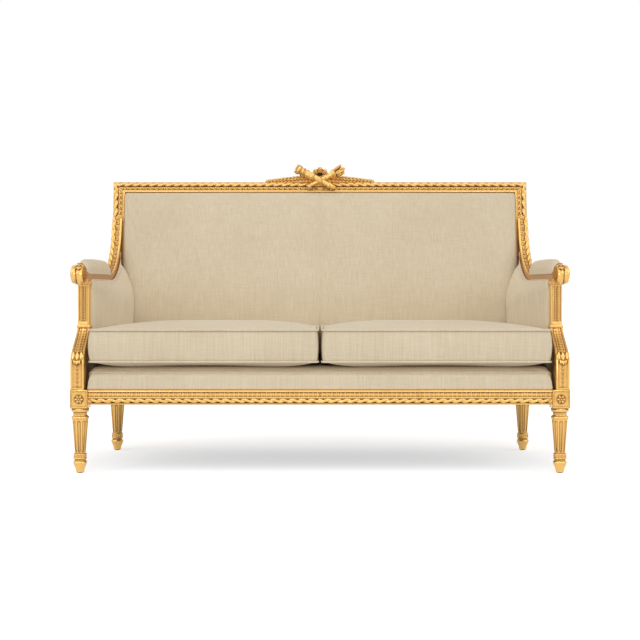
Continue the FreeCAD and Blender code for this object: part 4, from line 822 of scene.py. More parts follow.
support_parts.append(squared(
    (post_shaft - 0.5, console_top - 3), (post_shaft + 1.2, console_top - 1),
    (post_shaft + 1.2, console_top + 11, 3.0), (post_shaft - 0.5, console_top + 13)))
support_parts.append(squared(
    (post_half - 0.5, post_top - 13), (post_half + 0.4, post_top - 12),
    (post_half + 0.4, post_top - 5, 1.6), (post_half + 0.4, post_top)))
support_place = side_frame @ Matrix.Translation((support_u, 0, 0))
both_sides("carved_arm_support", joined(support_parts).placed(support_place), ["arm_support"])

# Arm rails: beech, sawn to a long sweep from the scroll to the stile, where they are tenoned in.
# They are plain under the pad; behind it the top carries leaf scrolls, with a rope on the outer edge.
arm_u, arm_half = 4, 18
arm_low, arm_high = 634, 662
arm_start, sweep_start = 46, 434.6
sweep_centre_z = 868
sweep_inner, sweep_outer = 206, 234
sweep_turn = math.radians(75)
arm_tail = 62


def sweep_line(radius, count=22, tail=arm_tail):
    """Points (v, z) of the arm's sweep at a radius from its centre, with the straight run into the stile."""
    angles = np.linspace(0, sweep_turn, count)
    line = [(sweep_start + radius * math.sin(a), sweep_centre_z - radius * math.cos(a)) for a in angles]
    end_v, end_z = line[-1]
    line.append((end_v + tail * math.cos(sweep_turn), end_z + tail * math.sin(sweep_turn)))
    return line


def along_arm(section):
    """A form along the whole arm, from a section of (u, share of the arm's thickness)."""
    under = [(arm_start, arm_low)] + sweep_line(sweep_outer)
    over = [(arm_start, arm_high)] + sweep_line(sweep_inner)
    rings = []
    for (low_v, low_z), (high_v, high_z) in zip(under, over):
        rings.append([(u, low_v + (high_v - low_v) * way, low_z + (high_z - low_z) * way)
                      for u, way in section])
    return shell(rings)


arm_parts = [along_arm([
    (-arm_half + 3, 0), (arm_half - 3, 0), (arm_half, 0.12), (arm_half, 0.86), (arm_half - 4, 0.9),
    (-arm_half + 8, 0.92), (-arm_half + 7, 1), (-arm_half + 2, 1), (-arm_half, 0.92), (-arm_half, 0.12)])]
arm_rope = [(arm_half - 7, v, z) for v, z in sweep_line(sweep_inner + 3.5)]
arm_parts.append(rope(arm_rope, 8.6, rope_pitch))
arm_scrolls = [(-3.5, v, z) for v, z in sweep_line(sweep_inner + 2.6)]
arm_parts.append(row(arm_scrolls, leaf_scroll(scroll_spacing, 12, 3.4), (-1, 0, 0), scroll_spacing))
arm_place = side_frame @ Matrix.Translation((arm_u, 0, 0))
both_sides("carved_arm_rail", joined(arm_parts).placed(arm_place), ["arm_rail"])
# Painted shade: a darker copy of the gilding, laid on the rail's inner side where shade falls on it.
gilt_with_painted_shade = gilding("gold_darkened_as_painted_shade", colour(184, 124, 52), colour(142, 86, 32), colour(92, 44, 14))
shaded_rail_side = along_arm([
    (-arm_half - 0.5, 0.14), (-arm_half + 1, 0.14), (-arm_half + 1, 0.86), (-arm_half - 0.5, 0.86)])
both_sides("rubbed_arm_rail_side", shaded_rail_side.placed(arm_place), [], gilt_with_painted_shade)

# Arm scrolls: the carved front ends of the arms, glued on and worked as volutes.
# The sides show a spiral round an eye, the front two rounded lobes, with a leaf and pearls over the top.
scroll_v, scroll_z, scroll_radius, scroll_half = 8, 654, 34, 27
scroll_turns = 1.6
barrel_angles = np.linspace(0, 2 * math.pi, 56, endpoint=False)
barrel_rows = [(-17.5, 0.90), (-16.5, 0.97), (-12, 1.0), (-6, 0.995), (-1, 0.97), (2, 0.92), (3.2, 0.80),
               (4.5, 0.86), (7, 0.90), (12, 0.915), (17, 0.90), (20, 0.87), (21.5, 0.82)]
barrel = [[(u, scroll_v + scroll_radius * size * math.cos(a), scroll_z + scroll_radius * size * math.sin(a))
           for a in barrel_angles] for u, size in barrel_rows]
scroll_parts = [shell(barrel)]
neck_section = [(-20, 0.0), (20, 0.0), (20, 0.85), (14, 1.0), (-14, 1.0), (-20, 0.85)]
neck_rings = []
for v, neck_top in ((scroll_v, 672), (28, 668), (40, 664), (arm_start, arm_high)):
    neck_rings.append([(u, v, arm_low + (neck_top - arm_low) * way) for u, way in neck_section])
scroll_parts.append(shell(neck_rings))
scroll_parts.append(rounded_box((-17, 24, 621), (17, post_v - post_half, 636)))
volute_turn = np.linspace(0, 2 * math.pi * scroll_turns, 60)
volute_size = 6.5 + (scroll_radius - 10.5) * volute_turn / volute_turn[-1]
volute_parts = []
for root_u, eye_u, side, fullness in ((-16.5, -scroll_half, -1, 0.98), (21, scroll_half - 2, 1, 0.86)):
    coil = []
    for a, size in zip(volute_turn, volute_size * fullness):
        bead = 1.4 + 2.0 * size / scroll_radius
        face_u = eye_u + (root_u - eye_u) * size / scroll_radius
        middle = np.array((face_u, scroll_v - size * math.cos(a), scroll_z + size * math.sin(a)))
        out = np.array((0, -math.cos(a), math.sin(a)))
        coil.append([middle + out * bead * c + np.array((side * 1.6 * s, 0, 0))
                     for c, s in ((-1, -1), (-0.8, 0.7), (0, 1.2), (0.8, 0.7), (1, -1))])
    volute_parts.append(shell(coil))
    ground = []
    for way in (0.1, 0.4, 0.7, 0.9, 1.0):
        face_u = eye_u + (root_u - eye_u) * way
        reach = scroll_radius * fullness * way * 0.96
        ground.append([(face_u, scroll_v + reach * math.cos(a), scroll_z + reach * math.sin(a))
                       for a in barrel_angles])
    volute_parts.append(shell(ground))
    eye = lathe(turned_line((5.6, -1.5), (5.2, 0), (0.3, 1.8, 0.8)), 20).turned("Y", 90 * side)
    volute_parts.append(eye.moved(eye_u - side * 1.8, scroll_v, scroll_z))
over_radius = scroll_radius + 0.5
over_angles = np.linspace(math.radians(60), math.radians(205), 18)[:9]
over_line = [(-5, scroll_v + over_radius * math.cos(a), scroll_z + over_radius * math.sin(a))
             for a in over_angles]
crown_leaf = joined([leaf(20, 13, 3.6), leaf(17, 10, 3).turned("Z", 28), leaf(17, 10, 3).turned("Z", -28)])
scroll_parts.append(row(over_line, crown_leaf, (1, 0, 0), 13))
crown_pearl = lathe(turned_line((2.6, -2), (3.3, 0.6), (0.3, 3.4, 1.1)), 14)
for u, back, down in ((-13.5, 0, 0), (-6.5, 0, 0), (0.5, 0, 0), (7.5, 1.5, 3), (11.7, 1.5, 3)):
    scroll_parts.append(crown_pearl.moved(u, scroll_v - 19 + back, scroll_z + 27.5 - down))
both_sides("carved_arm_scroll", joined(scroll_parts).placed(support_place), ["arm_scroll"])
# The volutes on the scroll sides take the darker gilding, which is painted shade.
both_sides("carved_arm_volute", joined(volute_parts).placed(support_place), [], gilt_with_painted_shade)

# Crest carving: limewood, carved apart and glued to the crest rail.
# A quiver of arrows and a torch cross before a wreath of roses, and laurel sprays run out to both sides.
crest_top = stile_length + crest_height
cross_y, cross_z = -14, crest_top + 3
cross_lean = 63
trophy_fullness = 1.18


def wound(low, high, radius, flare, parts):
    """A cord wound up a tapered shaft."""
    heights = np.linspace(low, high, parts)
    sizes = radius + flare * (heights - low)
    coil = [(size * math.cos(z / 5), size * math.sin(z / 5), z) for z, size in zip(heights, sizes)]
    return rope(coil, 2.2, 9)


def tip_leaves(blade, reach, height):
    """Six leaves that close about the lower end of a shaft."""
    leaves = []
    for angle in range(0, 360, 60):
        turn = math.radians(angle)
        hung = blade.turned("Y", 90).turned("Z", angle)
        leaves.append(hung.moved(reach * math.cos(turn), reach * math.sin(turn), height))
    return joined(leaves)


def crossed(parts, lean):
    """A set of parts about the Z axis, filled out, leant to one side and laid on the crest."""
    trophy = joined(parts)
    trophy.points[:, :2] *= trophy_fullness
    return trophy.turned("Y", lean).moved(0, cross_y, cross_z).placed(back_frame)


quiver_line = turned_line(
    (2, -58), (7, -50, 1), (8.2, -44), (9.6, -42), (9.6, -36, 1.2), (8.4, -34), (11, 30), (12.4, 32),
    (12.4, 38, 1.2), (11.4, 40), (12.6, 84), (14, 86), (14, 95, 1.2), (11, 96), (10, 88))
quiver = lathe(quiver_line, 40, lambda a, z, r: 0.7 * (np.cos(a * 8) > 0.2) * (z > -30) * (z < 28))
band_radius = 12.74
quiver_band = rope([(band_radius * math.cos(a), band_radius * math.sin(a), 56 + 2.2 * a)
                    for a in np.linspace(0, 4 * math.pi, 50)], 2.6, 9)
feather = leaf(22, 11, 1.8, 8, 4, 0.6).turned("Y", -90)
arrows = []
for place_x, place_y, lean in ((-7, 0, -10), (-2.5, -5, -4), (2.5, -5, 4), (7, 0, 10), (0, 5, 0)):
    shaft = lathe(turned_line((1.5, 76), (1.5, 96)), 8)
    vanes = joined([feather.moved(0, 0, 84).turned("Z", turn) for turn in (0, 120, 240)])
    arrows.append((shaft + vanes).moved(place_x, place_y, 0).turned("Y", lean * 0.25))
quiver_tip = tip_leaves(leaf(24, 11, 4), 3, -40)
quiver_parts = [quiver, quiver_band, wound(-30, 28, 8.9, 0.034, 60), quiver_tip] + arrows
gilded("carved_quiver", crossed(quiver_parts, -cross_lean), ["crest_quiver"])

torch_line = turned_line(
    (1, -52), (6, -46, 1.6), (4.4, -40), (5.8, -36), (7.6, 20), (9.2, 23), (9.2, 29, 1.2), (7.8, 32),
    (12.4, 54, -1.4), (14, 57), (14, 62, 0.8), (9, 62.5))
torch = lathe(torch_line, 40, lambda a, z, r: 0.9 * (np.cos(a * 7) > 0.1) * (z > -34) * (z < 18))
flame_radius, flame_root, flame_height = 15.5, 60, 46
flame_angles = np.linspace(0, 2 * math.pi, 48, endpoint=False)
flame_rings = []
for step in np.linspace(0, 1, 18):
    swell = math.sqrt(max(0.0, 1 - (1.75 * step - 0.62) ** 2)) if step < 0.92 else (1.06 - step) * 2.2
    sizes = flame_radius * swell * (0.80 + 0.20 * np.cos(6 * (flame_angles + 1.6 * step)))
    sway, rise = 2.5 * math.sin(step * 3), flame_root + flame_height * step
    flame_rings.append([(sway + size * math.cos(a), size * math.sin(a), rise)
                        for a, size in zip(flame_angles, sizes)])
flame_tongue = leaf(36, 12, 5, 8, 4, 0.7).turned("Y", -78).moved(9, 0, 62)
flame_tongues = [flame_tongue.turned("Z", turn) for turn in range(0, 360, 72)]
torch_tip = tip_leaves(leaf(20, 9, 3.4), 2.5, -34)
torch_parts = [torch, shell(flame_rings), wound(-32, 17, 6.3, 0.032, 50), torch_tip] + flame_tongues
gilded("carved_torch", crossed(torch_parts, cross_lean), ["crest_torch"])

backing = lathe(turned_line((0.5, -6), (34, -6), (37, -3, 1), (37, 10)), 40).turned("X", 90)
backing = Shape(backing.points * np.array((1, 1, 0.5)), backing.faces).moved(0, 8, crest_top + 3)
backing_parts = [backing]
for angle in (-12, 14, 38, 142, 166, 192):
    turn = math.radians(angle)
    backing_leaf = leaf(28, 15, 5).turned("X", 90).turned("Y", -angle)
    backing_parts.append(backing_leaf.moved(4 * math.cos(turn), -3, crest_top + 9 + 2 * math.sin(turn)))
for way in (-1, 1):
    ribbon = [(way * (10 + 26 * t), -5 - 3 * math.sin(3 * t), crest_top + 5 - 12 * t + 7 * math.sin(5 * t))
              for t in np.linspace(0, 1, 14)]
    backing_parts.append(rope(ribbon, 2.6, 14))
gilded("carved_backing", joined(backing_parts).placed(back_frame), ["crest_backing"])


def rose(size):
    """A full rose seen from the front: three rings of cupped petals about a bud, facing -Y."""
    petals = []
    for ring, (count, reach, tilt) in enumerate(((6, 1.0, 8), (5, 0.72, 34), (4, 0.46, 58))):
        for k in range(count):
            petal = leaf(size * reach, size * 0.95 * reach + 1, size * 0.26, 6, 4, 0.95).turned("Y", -tilt)
            petals.append(petal.moved(1, 0, ring * size * 0.12).turned("Z", 360 * (k + 0.5 * ring) / count))
    bud = lathe(turned_line((size * 0.3, 0), (size * 0.26, size * 0.4), (0.2, size * 0.62, 0.6)), 12)
    dome = lathe(turned_line((size * 0.9, -size * 0.5), (size * 0.8, -0.5), (0.4, size * 0.1, 0.5)), 20)
    return joined(petals + [bud, dome]).turned("X", 90)


wreath_y, wreath_z, wreath_radius = 6, crest_top + 24, 24
wreath_line = [(wreath_radius * math.cos(a), wreath_y, wreath_z + wreath_radius * math.sin(a))
               for a in np.linspace(0, math.pi, 25)]
wreath_parts = [rope(wreath_line, 4.6, 16)]
wreath_blade = leaf(13, 6, 2.4)
wreath_leaf = wreath_blade.turned("Z", 38).moved(0, 2, 2) + wreath_blade.turned("Z", -38).moved(0, -2, 2)
wreath_parts.append(row(wreath_line, wreath_leaf, (0, -1, 0), 8.5))
for angle, size in ((45, 10.5), (90, 11.5), (135, 10.5)):
    turn = math.radians(angle)
    rose_x, rose_rise = wreath_radius * math.cos(turn), wreath_radius * math.sin(turn) - 2
    wreath_parts.append(rose(size).moved(rose_x, wreath_y - 4, wreath_z + rose_rise))
for rose_x in (-25, 25):
    wreath_parts.append(rose(7).moved(rose_x, wreath_y - 3, wreath_z + 4))
# Painted shadow: a dark sheet inside the wreath stands in for the shade in its hollow, with a gilded copy
# just behind it.
hollow_radius = wreath_radius - 1
hollow_angles = np.linspace(-0.25, math.pi + 0.25, 24)
hollow_rings = [[(hollow_radius * math.cos(a), y, wreath_z - 2 + hollow_radius * math.sin(a))
                 for a in hollow_angles] for y in (wreath_y + 7, wreath_y + 5)]
hollow_shade = gilding("painted_shadow_brown", colour(52, 30, 18), colour(38, 22, 14), colour(24, 14, 10))
gilded("wreath_hollow", shell(hollow_rings).placed(back_frame), [], hollow_shade)
wreath_parts.append(shell(hollow_rings).moved(0, 2.2, 0))
gilded("carved_wreath", joined(wreath_parts).placed(back_frame), ["crest_wreath"])

spray_start, spray_end, spray_y = 22, 208, 11
spray_places = np.linspace(spray_start, spray_end, 24)
spray_rise = 3 + 13 * (1 - (spray_places - spray_start) / (spray_end - spray_start)) ** 1.1
spray_line = [(x, spray_y - 4, crest_top + rise) for x, rise in zip(spray_places, spray_rise)]
spray_bed = []
for x, rise in zip(spray_places, spray_rise):
    low, shoulder, ridge = crest_top - 1, crest_top + 0.8 * rise, crest_top + 1.35 * rise
    spray_bed.append([(x, spray_y - 5, low), (x, spray_y - 5, shoulder), (x, spray_y, ridge),
                      (x, spray_y + 7, shoulder), (x, spray_y + 7, low)])
laurel_blade = leaf(30, 13, 4.5)
laurel = joined([laurel_blade.turned("Z", 24).moved(0, 2, 0), laurel_blade.turned("Z", -24).moved(0, -2, 0),
                 leaf(27, 11, 5).turned("Y", -10).moved(5, 0, 2)])
spray = shell(spray_bed)
spray += row(spray_line[:-2], laurel, (0, 0, 1), 14, 0.5)
berry = lathe(turned_line((1.4, -1.5), (2.3, 0.4), (0.3, 2.6, 0.9)), 10).turned("X", 90)
spray += row([(x + 6, y - 5, z + 1) for x, y, z in spray_line[:-3]], berry, (0, 1, 0), 14, 0.7)
both_sides("carved_laurel_spray", spray.placed(back_frame), ["laurel_spray"])

# Webbing and hessian: jute straps and plain jute cloth, tacked over the seat and back under the stuffing.
# The CAD straps and cloths stay as they are, in a coarse jute weave.
jute, jute_nodes, jute_shader = finish_of("jute_weave", Roughness=0.9)
jute_place = jute_nodes.node("ShaderNodeTexCoord")[3]
jute_axes = jute_nodes.node("ShaderNodeSeparateXYZ", {}, {0: jute_place})
jute_warp = (jute_axes[0] * (2 * math.pi / 0.0032)).wave()
jute_weft = ((jute_axes[1] + jute_axes[2]) * (2 * math.pi / 0.0032)).wave()
jute_thread = jute_warp * jute_weft
jute_fibre = jute_nodes.speckle(jute_place, 0.004, 4.0)
jute_tone = (jute_thread * 0.6 + jute_fibre * 0.5).clamped()
jute_colour = jute_nodes.mixed(jute_tone, colour(128, 98, 62), colour(186, 156, 108))
jute_bump = jute_nodes.node("ShaderNodeBump", {}, {"Strength": 0.6, "Distance": 0.0008,
                                                   "Height": jute_thread})[0]
jute.node_tree.links.new(jute_colour.socket, jute_shader.inputs["Base Color"])
jute.node_tree.links.new(jute_bump.socket, jute_shader.inputs["Normal"])
for jute_node in ("seat_webbing", "seat_hessian", "back_webbing", "back_hessian"):
    dressed(jute_node, jute)

# Seat deck: hair and wadding stitched to a firm edge on the webbing, covered in a pale slubbed linen.
# The linen is pulled down over the rails, with a piped seam along the top of the rolled front edge.
front_plane = cad_bounds[0][1] * 1000
deck_low, deck_high = (1000 * np.array(corner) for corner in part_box("seat_deck_cover"))
deck_front = deck_low[1]
deck_rear = deck_high[1]
deck_crown_z = deck_high[2]
deck_corner = 21


def linen_cloth(name, pale, dark):
    """Plain-woven linen: slub threads both ways, an uneven tone and a weave that only the light shows."""
    material, nodes, shader = finish_of(name, Roughness=0.86, Sheen_Weight=0.2, Sheen_Roughness=0.5)
    shader.inputs["Specular IOR Level"].default_value = 0.25
    place = nodes.node("ShaderNodeTexCoord")[3]
    way = nodes.node("ShaderNodeSeparateXYZ", {}, {0: place})
    level_slub = nodes.speckle(place, 0.0021, 2.0, (0.04, 1, 1))
    upright_slub = nodes.speckle(place, 0.0026, 2.0, (1, 0.25, 0.03))
    cloud = nodes.speckle(place, 0.2, 2.0)
    thread = 2 * math.pi / 0.0011
    weave = (way[0] * thread).wave() * ((way[2] + way[1]) * thread).wave()
    tone = ((level_slub - 0.5) * 0.9 + (upright_slub - 0.5) * 1.3 + (cloud - 0.5) * 0.5 + 0.5).clamped()
    links = material.node_tree.links
    links.new(nodes.mixed(tone, dark, pale).socket, shader.inputs["Base Color"])
    relief = level_slub * 0.5 + upright_slub * 0.7 + weave * 0.4
    bump = nodes.node("ShaderNodeBump", {}, {"Strength": 0.22, "Distance": 0.0005, "Height": relief})[0]
    links.new(bump.socket, shader.inputs["Normal"])
    return material


linen = linen_cloth("slubbed_linen", colour(226, 212, 186), colour(204, 187, 157))


def linen_piece(name, shape, replaced, body="frame"):
    """A piece in linen, smooth over all but its sharpest folds."""
    return finished(name, shape, linen, replaced, body, edge=80)


def rounded_corner(x, y, low, high, radius):
    """Moves a point of a rectangle's grid inside the rectangle's rounded corners."""
    inner_x = min(max(x, low[0] + radius), high[0] - radius)
    inner_y = min(max(y, low[1] + radius), high[1] - radius)
    off_x, off_y = x - inner_x, y - inner_y
    if off_x == 0 or off_y == 0:
        return x, y
    reach = max(abs(off_x), abs(off_y)) / math.hypot(off_x, off_y)
    return inner_x + off_x * reach, inner_y + off_y * reach


def pillow(columns, rows, walls, top, side, bottom):
    """A closed cover of a top, a bottom and a wall, from functions of its grid, and its seams."""
    loop = [(i, 0) for i in range(columns)] + [(columns, j) for j in range(rows)]
    loop += [(i, rows) for i in range(columns, 0, -1)] + [(0, j) for j in range(rows, 0, -1)]
    points, number = [], {}

    def keep(key, point):
        number[key] = len(points)
        points.append(point)

    for level, form in (("top", top), ("bottom", bottom)):
        for i in range(columns + 1):
            for j in range(rows + 1):
                keep((level, i, j), form(i / columns, j / rows))
    for step in range(1, walls):
        for i, j in loop:
            keep((step, i, j), side(i / columns, j / rows, step / walls))
    faces = []
    for i in range(columns):
        for j in range(rows):
            corners = ((i, j), (i + 1, j), (i + 1, j + 1), (i, j + 1))
            faces.append(tuple(number[("top", *c)] for c in corners))
            faces.append(tuple(number[("bottom", *c)] for c in corners[::-1]))
    levels = ["bottom", *range(1, walls), "top"]
    for low, high in zip(levels, levels[1:]):
        for k, (i, j) in enumerate(loop):
            after = loop[(k + 1) % len(loop)]
            faces.append((number[(low, i, j)], number[(low, *after)],
                          number[(high, *after)], number[(high, i, j)]))
    seams = [number[(level, i, j)] for level in ("top", "bottom") for i, j in loop]
    return Shape(points, faces), seams


def plumped(piece, sewn, pressure, reach):
    """Fills a cover: cloth under pressure, held at its sewn points and by how far the cloth can give."""
    held = piece.vertex_groups.new(name="sewn")
    held.add(sewn, 1.0, "REPLACE")
    cloth = piece.modifiers.new("filling", "CLOTH")
    cloth.settings.vertex_group_mass = "sewn"
    cloth.settings.use_pressure = True
    cloth.settings.uniform_pressure_force = pressure
    cloth.settings.quality = 4
    cloth.settings.effector_weights.gravity = 0
    frames = 20
    cloth.point_cache.frame_start = 1
    cloth.point_cache.frame_end = frames
    for step in range(1, frames + 1):
        bpy.context.scene.frame_set(step)
    filled = piece.evaluated_get(bpy.context.evaluated_depsgraph_get()).to_mesh()
    count = len(piece.data.vertices)
    start, end = np.empty(3 * count), np.empty(3 * count)
    piece.data.vertices.foreach_get("co", start)
    filled.vertices.foreach_get("co", end)
    give = (end - start).reshape(-1, 3)
    length = np.linalg.norm(give, axis=1, keepdims=True)
    give *= np.minimum(1, reach / np.maximum(length, 1e-9))
    piece.modifiers.remove(cloth)
    piece.vertex_groups.remove(held)
    piece.data.vertices.foreach_set("co", start + give.ravel())
    piece.data.update()
    bpy.context.scene.frame_set(1)
    subdivision = piece.modifiers.new("smooth", "SUBSURF")
    subdivision.levels = 1
    subdivision.render_levels = 1


seat_widest = 768
seat_beside_posts, posts_depth, seat_taper = 766.25, 140, 0.1823


def seat_half_width(y):
    """Half the seat's width at a depth behind the front plane, between the arm scrolls or the padded arms."""
    return min(seat_widest, seat_beside_posts - seat_taper * (y - posts_depth))


def tube(points, radius, sides=8, closed=False):
    """A welt: a round tube along points, closed on itself or with its ends rounded off."""
    points = np.asarray(points, float)
    ahead = np.roll(points, -1, axis=0) - np.roll(points, 1, axis=0)
    if not closed:
        ahead[0], ahead[-1] = points[1] - points[0], points[-1] - points[-2]
    ahead /= np.linalg.norm(ahead, axis=1, keepdims=True)
    first = np.cross(ahead, np.array((0.0, 0.0, 1.0)))
    flat = np.linalg.norm(first, axis=1) < 0.2
    first[flat] = np.cross(ahead[flat], np.array((0.0, 1.0, 0.0)))
    first /= np.linalg.norm(first, axis=1, keepdims=True)
    second = np.cross(first, ahead)
    turn = np.linspace(0, 2 * math.pi, sides, endpoint=False)
    round_out = first[:, None] * np.cos(turn)[:, None] + second[:, None] * np.sin(turn)[:, None]
    return shell(points[:, None] + radius * round_out, endless=closed)


deck_bottom = seat_top + 5.6
deck_roll = 84
deck_front_drop, deck_rear_drop = 31, 12
deck_welt_z = 330


def deck_top(s, t):
    """The deck's upper face: level over the webbing, rolled down at the front and rounded off at the arms."""
    y = deck_front + 1.5 + (deck_rear - deck_front - 4) * (0.2 * t + 0.8 * t * t)
    half = seat_half_width(y - front_plane) - 2.5
    x = (2 * s - 1) * half
    roll = max(0.0, 1 - (y - deck_front) / deck_roll) ** 3
    fall = max(0.0, 2 * t - 1) ** 2
    turn = max(0.0, abs(x) - (half - deck_corner))
    drop = deck_corner - math.sqrt(max(0.0, deck_corner ** 2 - turn ** 2))
    return x, y, deck_crown_z - 4.5 - deck_front_drop * roll - deck_rear_drop * fall - drop


def deck_underside(s, t):
    x, y, z = deck_top(s, t)
    return x, y, deck_bottom if y > deck_front + 9 else seat_top + 0.6


def deck_wall(s, t, level):
    x, y, z = deck_top(s, t)
    low = deck_underside(s, t)[2]
    return x, y - (1.2 if t == 0 else 0) * math.sin(math.pi * level), low + (z - low) * level


def spaced(form, steps):
    """A grid's form with its columns at given steps, so that some can lie close together."""
    return lambda s, t, *level: form(steps[round(s * (len(steps) - 1))], t, *level)


deck_close = (0.0015, 0.003, 0.0045, 0.006, 0.011)
deck_steps = sorted([*np.linspace(0, 1, 121), *deck_close, *(1 - step for step in deck_close)])
deck_forms = [spaced(form, deck_steps) for form in (deck_top, deck_wall, deck_underside)]
deck_shape, _ = pillow(len(deck_steps) - 1, 44, 6, *deck_forms)
deck = linen_piece("linen_seat_deck", deck_shape.placed(millimetre),
                   ["seat_deck_cover", "seat_deck_stuffing"])
deck_sewn = [k for k, p in enumerate(deck_shape.points) if p[2] < deck_bottom + 1 or p[1] > deck_front + 120]
plumped(deck, deck_sewn, pressure=2.0, reach=0.0025)
deck_welt = []
for s in np.linspace(0, 1, 240):
    x, y, z = deck_top(s, 0)
    t = 0.0
    while z < min(deck_welt_z, deck_top(s, 0.3)[2] - 6) and t < 0.3:
        t += 0.004
        x, y, z = deck_top(s, t)
    deck_welt.append((x, y - 1.0, z + 0.2))
linen_piece("deck_welt", tube(deck_welt, 2.1).placed(millimetre), [])

# Padded back: hair on webbing between the stiles, one linen cover with a seam down its middle.
# It is thickest a hand above the seat and thins to the crest, where the cover is tacked inside the fillet.
back_half = 741.2
back_low, back_high = 85, 700.5
back_rear = 17
back_peak = 230
back_crown, back_edge, back_tuck = 88.5, 66.5, 10
back_top_crown, back_top_edge = 7, 1.5
back_roll = 16
seam_depth, seam_width = 3.6, 2.8


def back_depth(x, z):
    """How far the padded back stands forward of the frame's plane."""
    rise = max(0.0, (z - back_peak) / (back_high - back_peak))
    tuck = back_tuck * max(0.0, (back_peak - z) / (back_peak - back_low)) ** 2
    crown = back_crown + (back_top_crown - back_crown) * min(1, rise) ** 1.5 - tuck
    edge = back_edge + (back_top_edge - back_edge) * min(1, rise) ** 1.2 - tuck
    side = min(1.0, abs(x) / back_half)
    return edge + (crown - edge) * (1 - side ** 2)


def back_front(s, t):
    """The front of the padded back, in the back frame, with its edges rolled under and its middle seam."""
    x = (2 * s - 1) * back_half
    z = back_low + t * (back_high - back_low)
    depth = back_depth(x, z)
    roll = max(0.0, (abs(x) - back_half + back_roll) / back_roll) ** 2 * min(12, 0.2 * depth)
    seam = seam_depth * math.exp(-(x / seam_width) ** 2)
    return x, -depth + roll + seam, z


def back_behind(s, t):
    x, y, z = back_front(s, t)
    return x, back_rear, z


def back_wall(s, t, level):
    x, y, z = back_front(s, t)
    return x, back_rear + (y - back_rear) * level, z


back_close = (-0.003, -0.0015, 0.0015, 0.003)
back_steps = sorted([*np.linspace(0, 1, 121), *(0.5 + step for step in back_close)])
back_forms = [spaced(form, back_steps) for form in (back_front, back_wall, back_behind)]
back_shape, _ = pillow(len(back_steps) - 1, 50, 5, *back_forms)
back_sewn = [k for k, (x, y, z) in enumerate(back_shape.points)
             if y > 0 or z > back_high - 5 or z < back_low + 5 or abs(x) > back_half - 4 or abs(x) < 2]
back_pad = linen_piece("linen_back", back_shape.placed(back_frame), ["back_cover", "back_stuffing"])
plumped(back_pad, back_sewn, pressure=2.5, reach=0.005)

# Padded arms: hair over a board inside each arm frame, covered in the same linen.
# The cover is piped along the top, where it laps the rail's lower edge, and turns in behind the arm post.
arm_front, arm_rear = 113, 599
arm_face_front, arm_face_rear = -18, -80
arm_face_end = 559.6
arm_back_u = 9.2
arm_bottom = 280
arm_lip = -16
arm_lap = 8
arm_shoulder, arm_fall = 34, 60
shoulder_share = 0.55
arm_front_roll, arm_rear_roll = 7, 9


def arm_top_at(v, lap=0.0):
    """Height just under the arm rail at a distance along the side, or of a lap up the rail's side."""
    if v <= sweep_start:
        return arm_low - 0.8 + lap
    return sweep_centre_z - math.sqrt((sweep_outer + 0.8 - lap) ** 2 - (v - sweep_start) ** 2)


def stile_face_at(z):
    """How far along the side the stile's face lies at a height, less a little room for its rope."""
    return (back_y - front_leg_y) / math.cos(skew) + (z - seat_top) * math.tan(back_tilt) - 3


def arm_limit(u, z):
    """How far back the padded arm may reach: to the padded back or, beside that, to the stile."""
    v = arm_rear
    for _ in range(3):
        x = front_leg_x + u * math.cos(skew) - v * math.sin(skew)
        depth = 40
        for _ in range(3):
            rise = (z - seat_top - depth * math.sin(back_tilt)) / math.cos(back_tilt)
            depth = back_depth(x, rise) + 3
        y = back_y - depth * math.cos(back_tilt) + rise * math.sin(back_tilt)
        v = (y - front_leg_y - u * math.sin(skew)) / math.cos(skew)
    beside = max(0.0, min(1.0, (x - back_half - 0.8) / 5))
    return min(arm_rear, v - 1.5) * (1 - beside) + (stile_face_at(z) - 6) * beside


def arm_inner(s, t):
    """The padded face towards the seat: upright below its shoulder, then rounded over to the rail's lip."""
    v = arm_front + s * (arm_rear - arm_front)
    for _ in range(4):
        way = (v - arm_front) / (arm_face_end - arm_front)
        face = arm_face_front + (arm_face_rear - arm_face_front) * way
        top = arm_top_at(v, arm_lap)
        shoulder = top - arm_shoulder - arm_fall * way - 0.9 * max(0, top - arm_low)
        if t < shoulder_share:
            u, z = face, arm_bottom + (shoulder - arm_bottom) * t / shoulder_share
        else:
            turned = (t - shoulder_share) / (1 - shoulder_share)
            bow = 0.12 * 4 * turned * (1 - turned)
            u = face + (arm_lip - face) * turned + bow * (shoulder - top)
            z = shoulder + (top - shoulder) * turned - bow * (face - arm_lip)
        v = arm_front + s * (arm_limit(u, z) - arm_front)
    front_roll = arm_front_roll * max(0.0, 1 - s / 0.03) ** 2
    rear_roll = arm_rear_roll * max(0.0, (s - 0.95) / 0.05) ** 2
    return min(u + front_roll + rear_roll, arm_back_u - 6), v, z


def arm_outer(s, t):
    """The face against the arm board, which ends under the rail."""
    u, v, z = arm_inner(s, t)
    return arm_back_u, v, min(z, arm_top_at(v))


def arm_wall(s, t, level):
    """The edges between both faces; the upper edge runs under the rail and then up beside it."""
    u, v, z = arm_inner(s, t)
    return arm_back_u + (u - arm_back_u) * min(1, level / 0.75), v, min(z, arm_top_at(v))


arm_shape, _ = pillow(48, 36, 4, arm_inner, arm_wall, arm_outer)
arm_sewn = [k for k, (u, v, z) in enumerate(arm_shape.points)
            if u > -17.5 or v < arm_front + 3 or v > arm_limit(u, z) - 14 or z < arm_bottom + 4]
arm_seam = [arm_inner(s, 0.965) for s in np.linspace(0.03, 0.99, 90)]
arm_welt = tube([(u - 1.0, v, z - 0.5) for u, v, z in arm_seam], 1.9)
hands = (("right", lambda shape: shape), ("left", Shape.mirrored))
for side, turn in hands:
    inner_arm = linen_piece(f"linen_inner_arm_{side}", turn(arm_shape.placed(side_frame)),
                            [f"inner_arm_cover_{side}", f"inner_arm_stuffing_{side}"])
    plumped(inner_arm, arm_sewn, pressure=2.5, reach=0.004)
    linen_piece(f"inner_arm_welt_{side}", turn(arm_welt.placed(side_frame)), [])

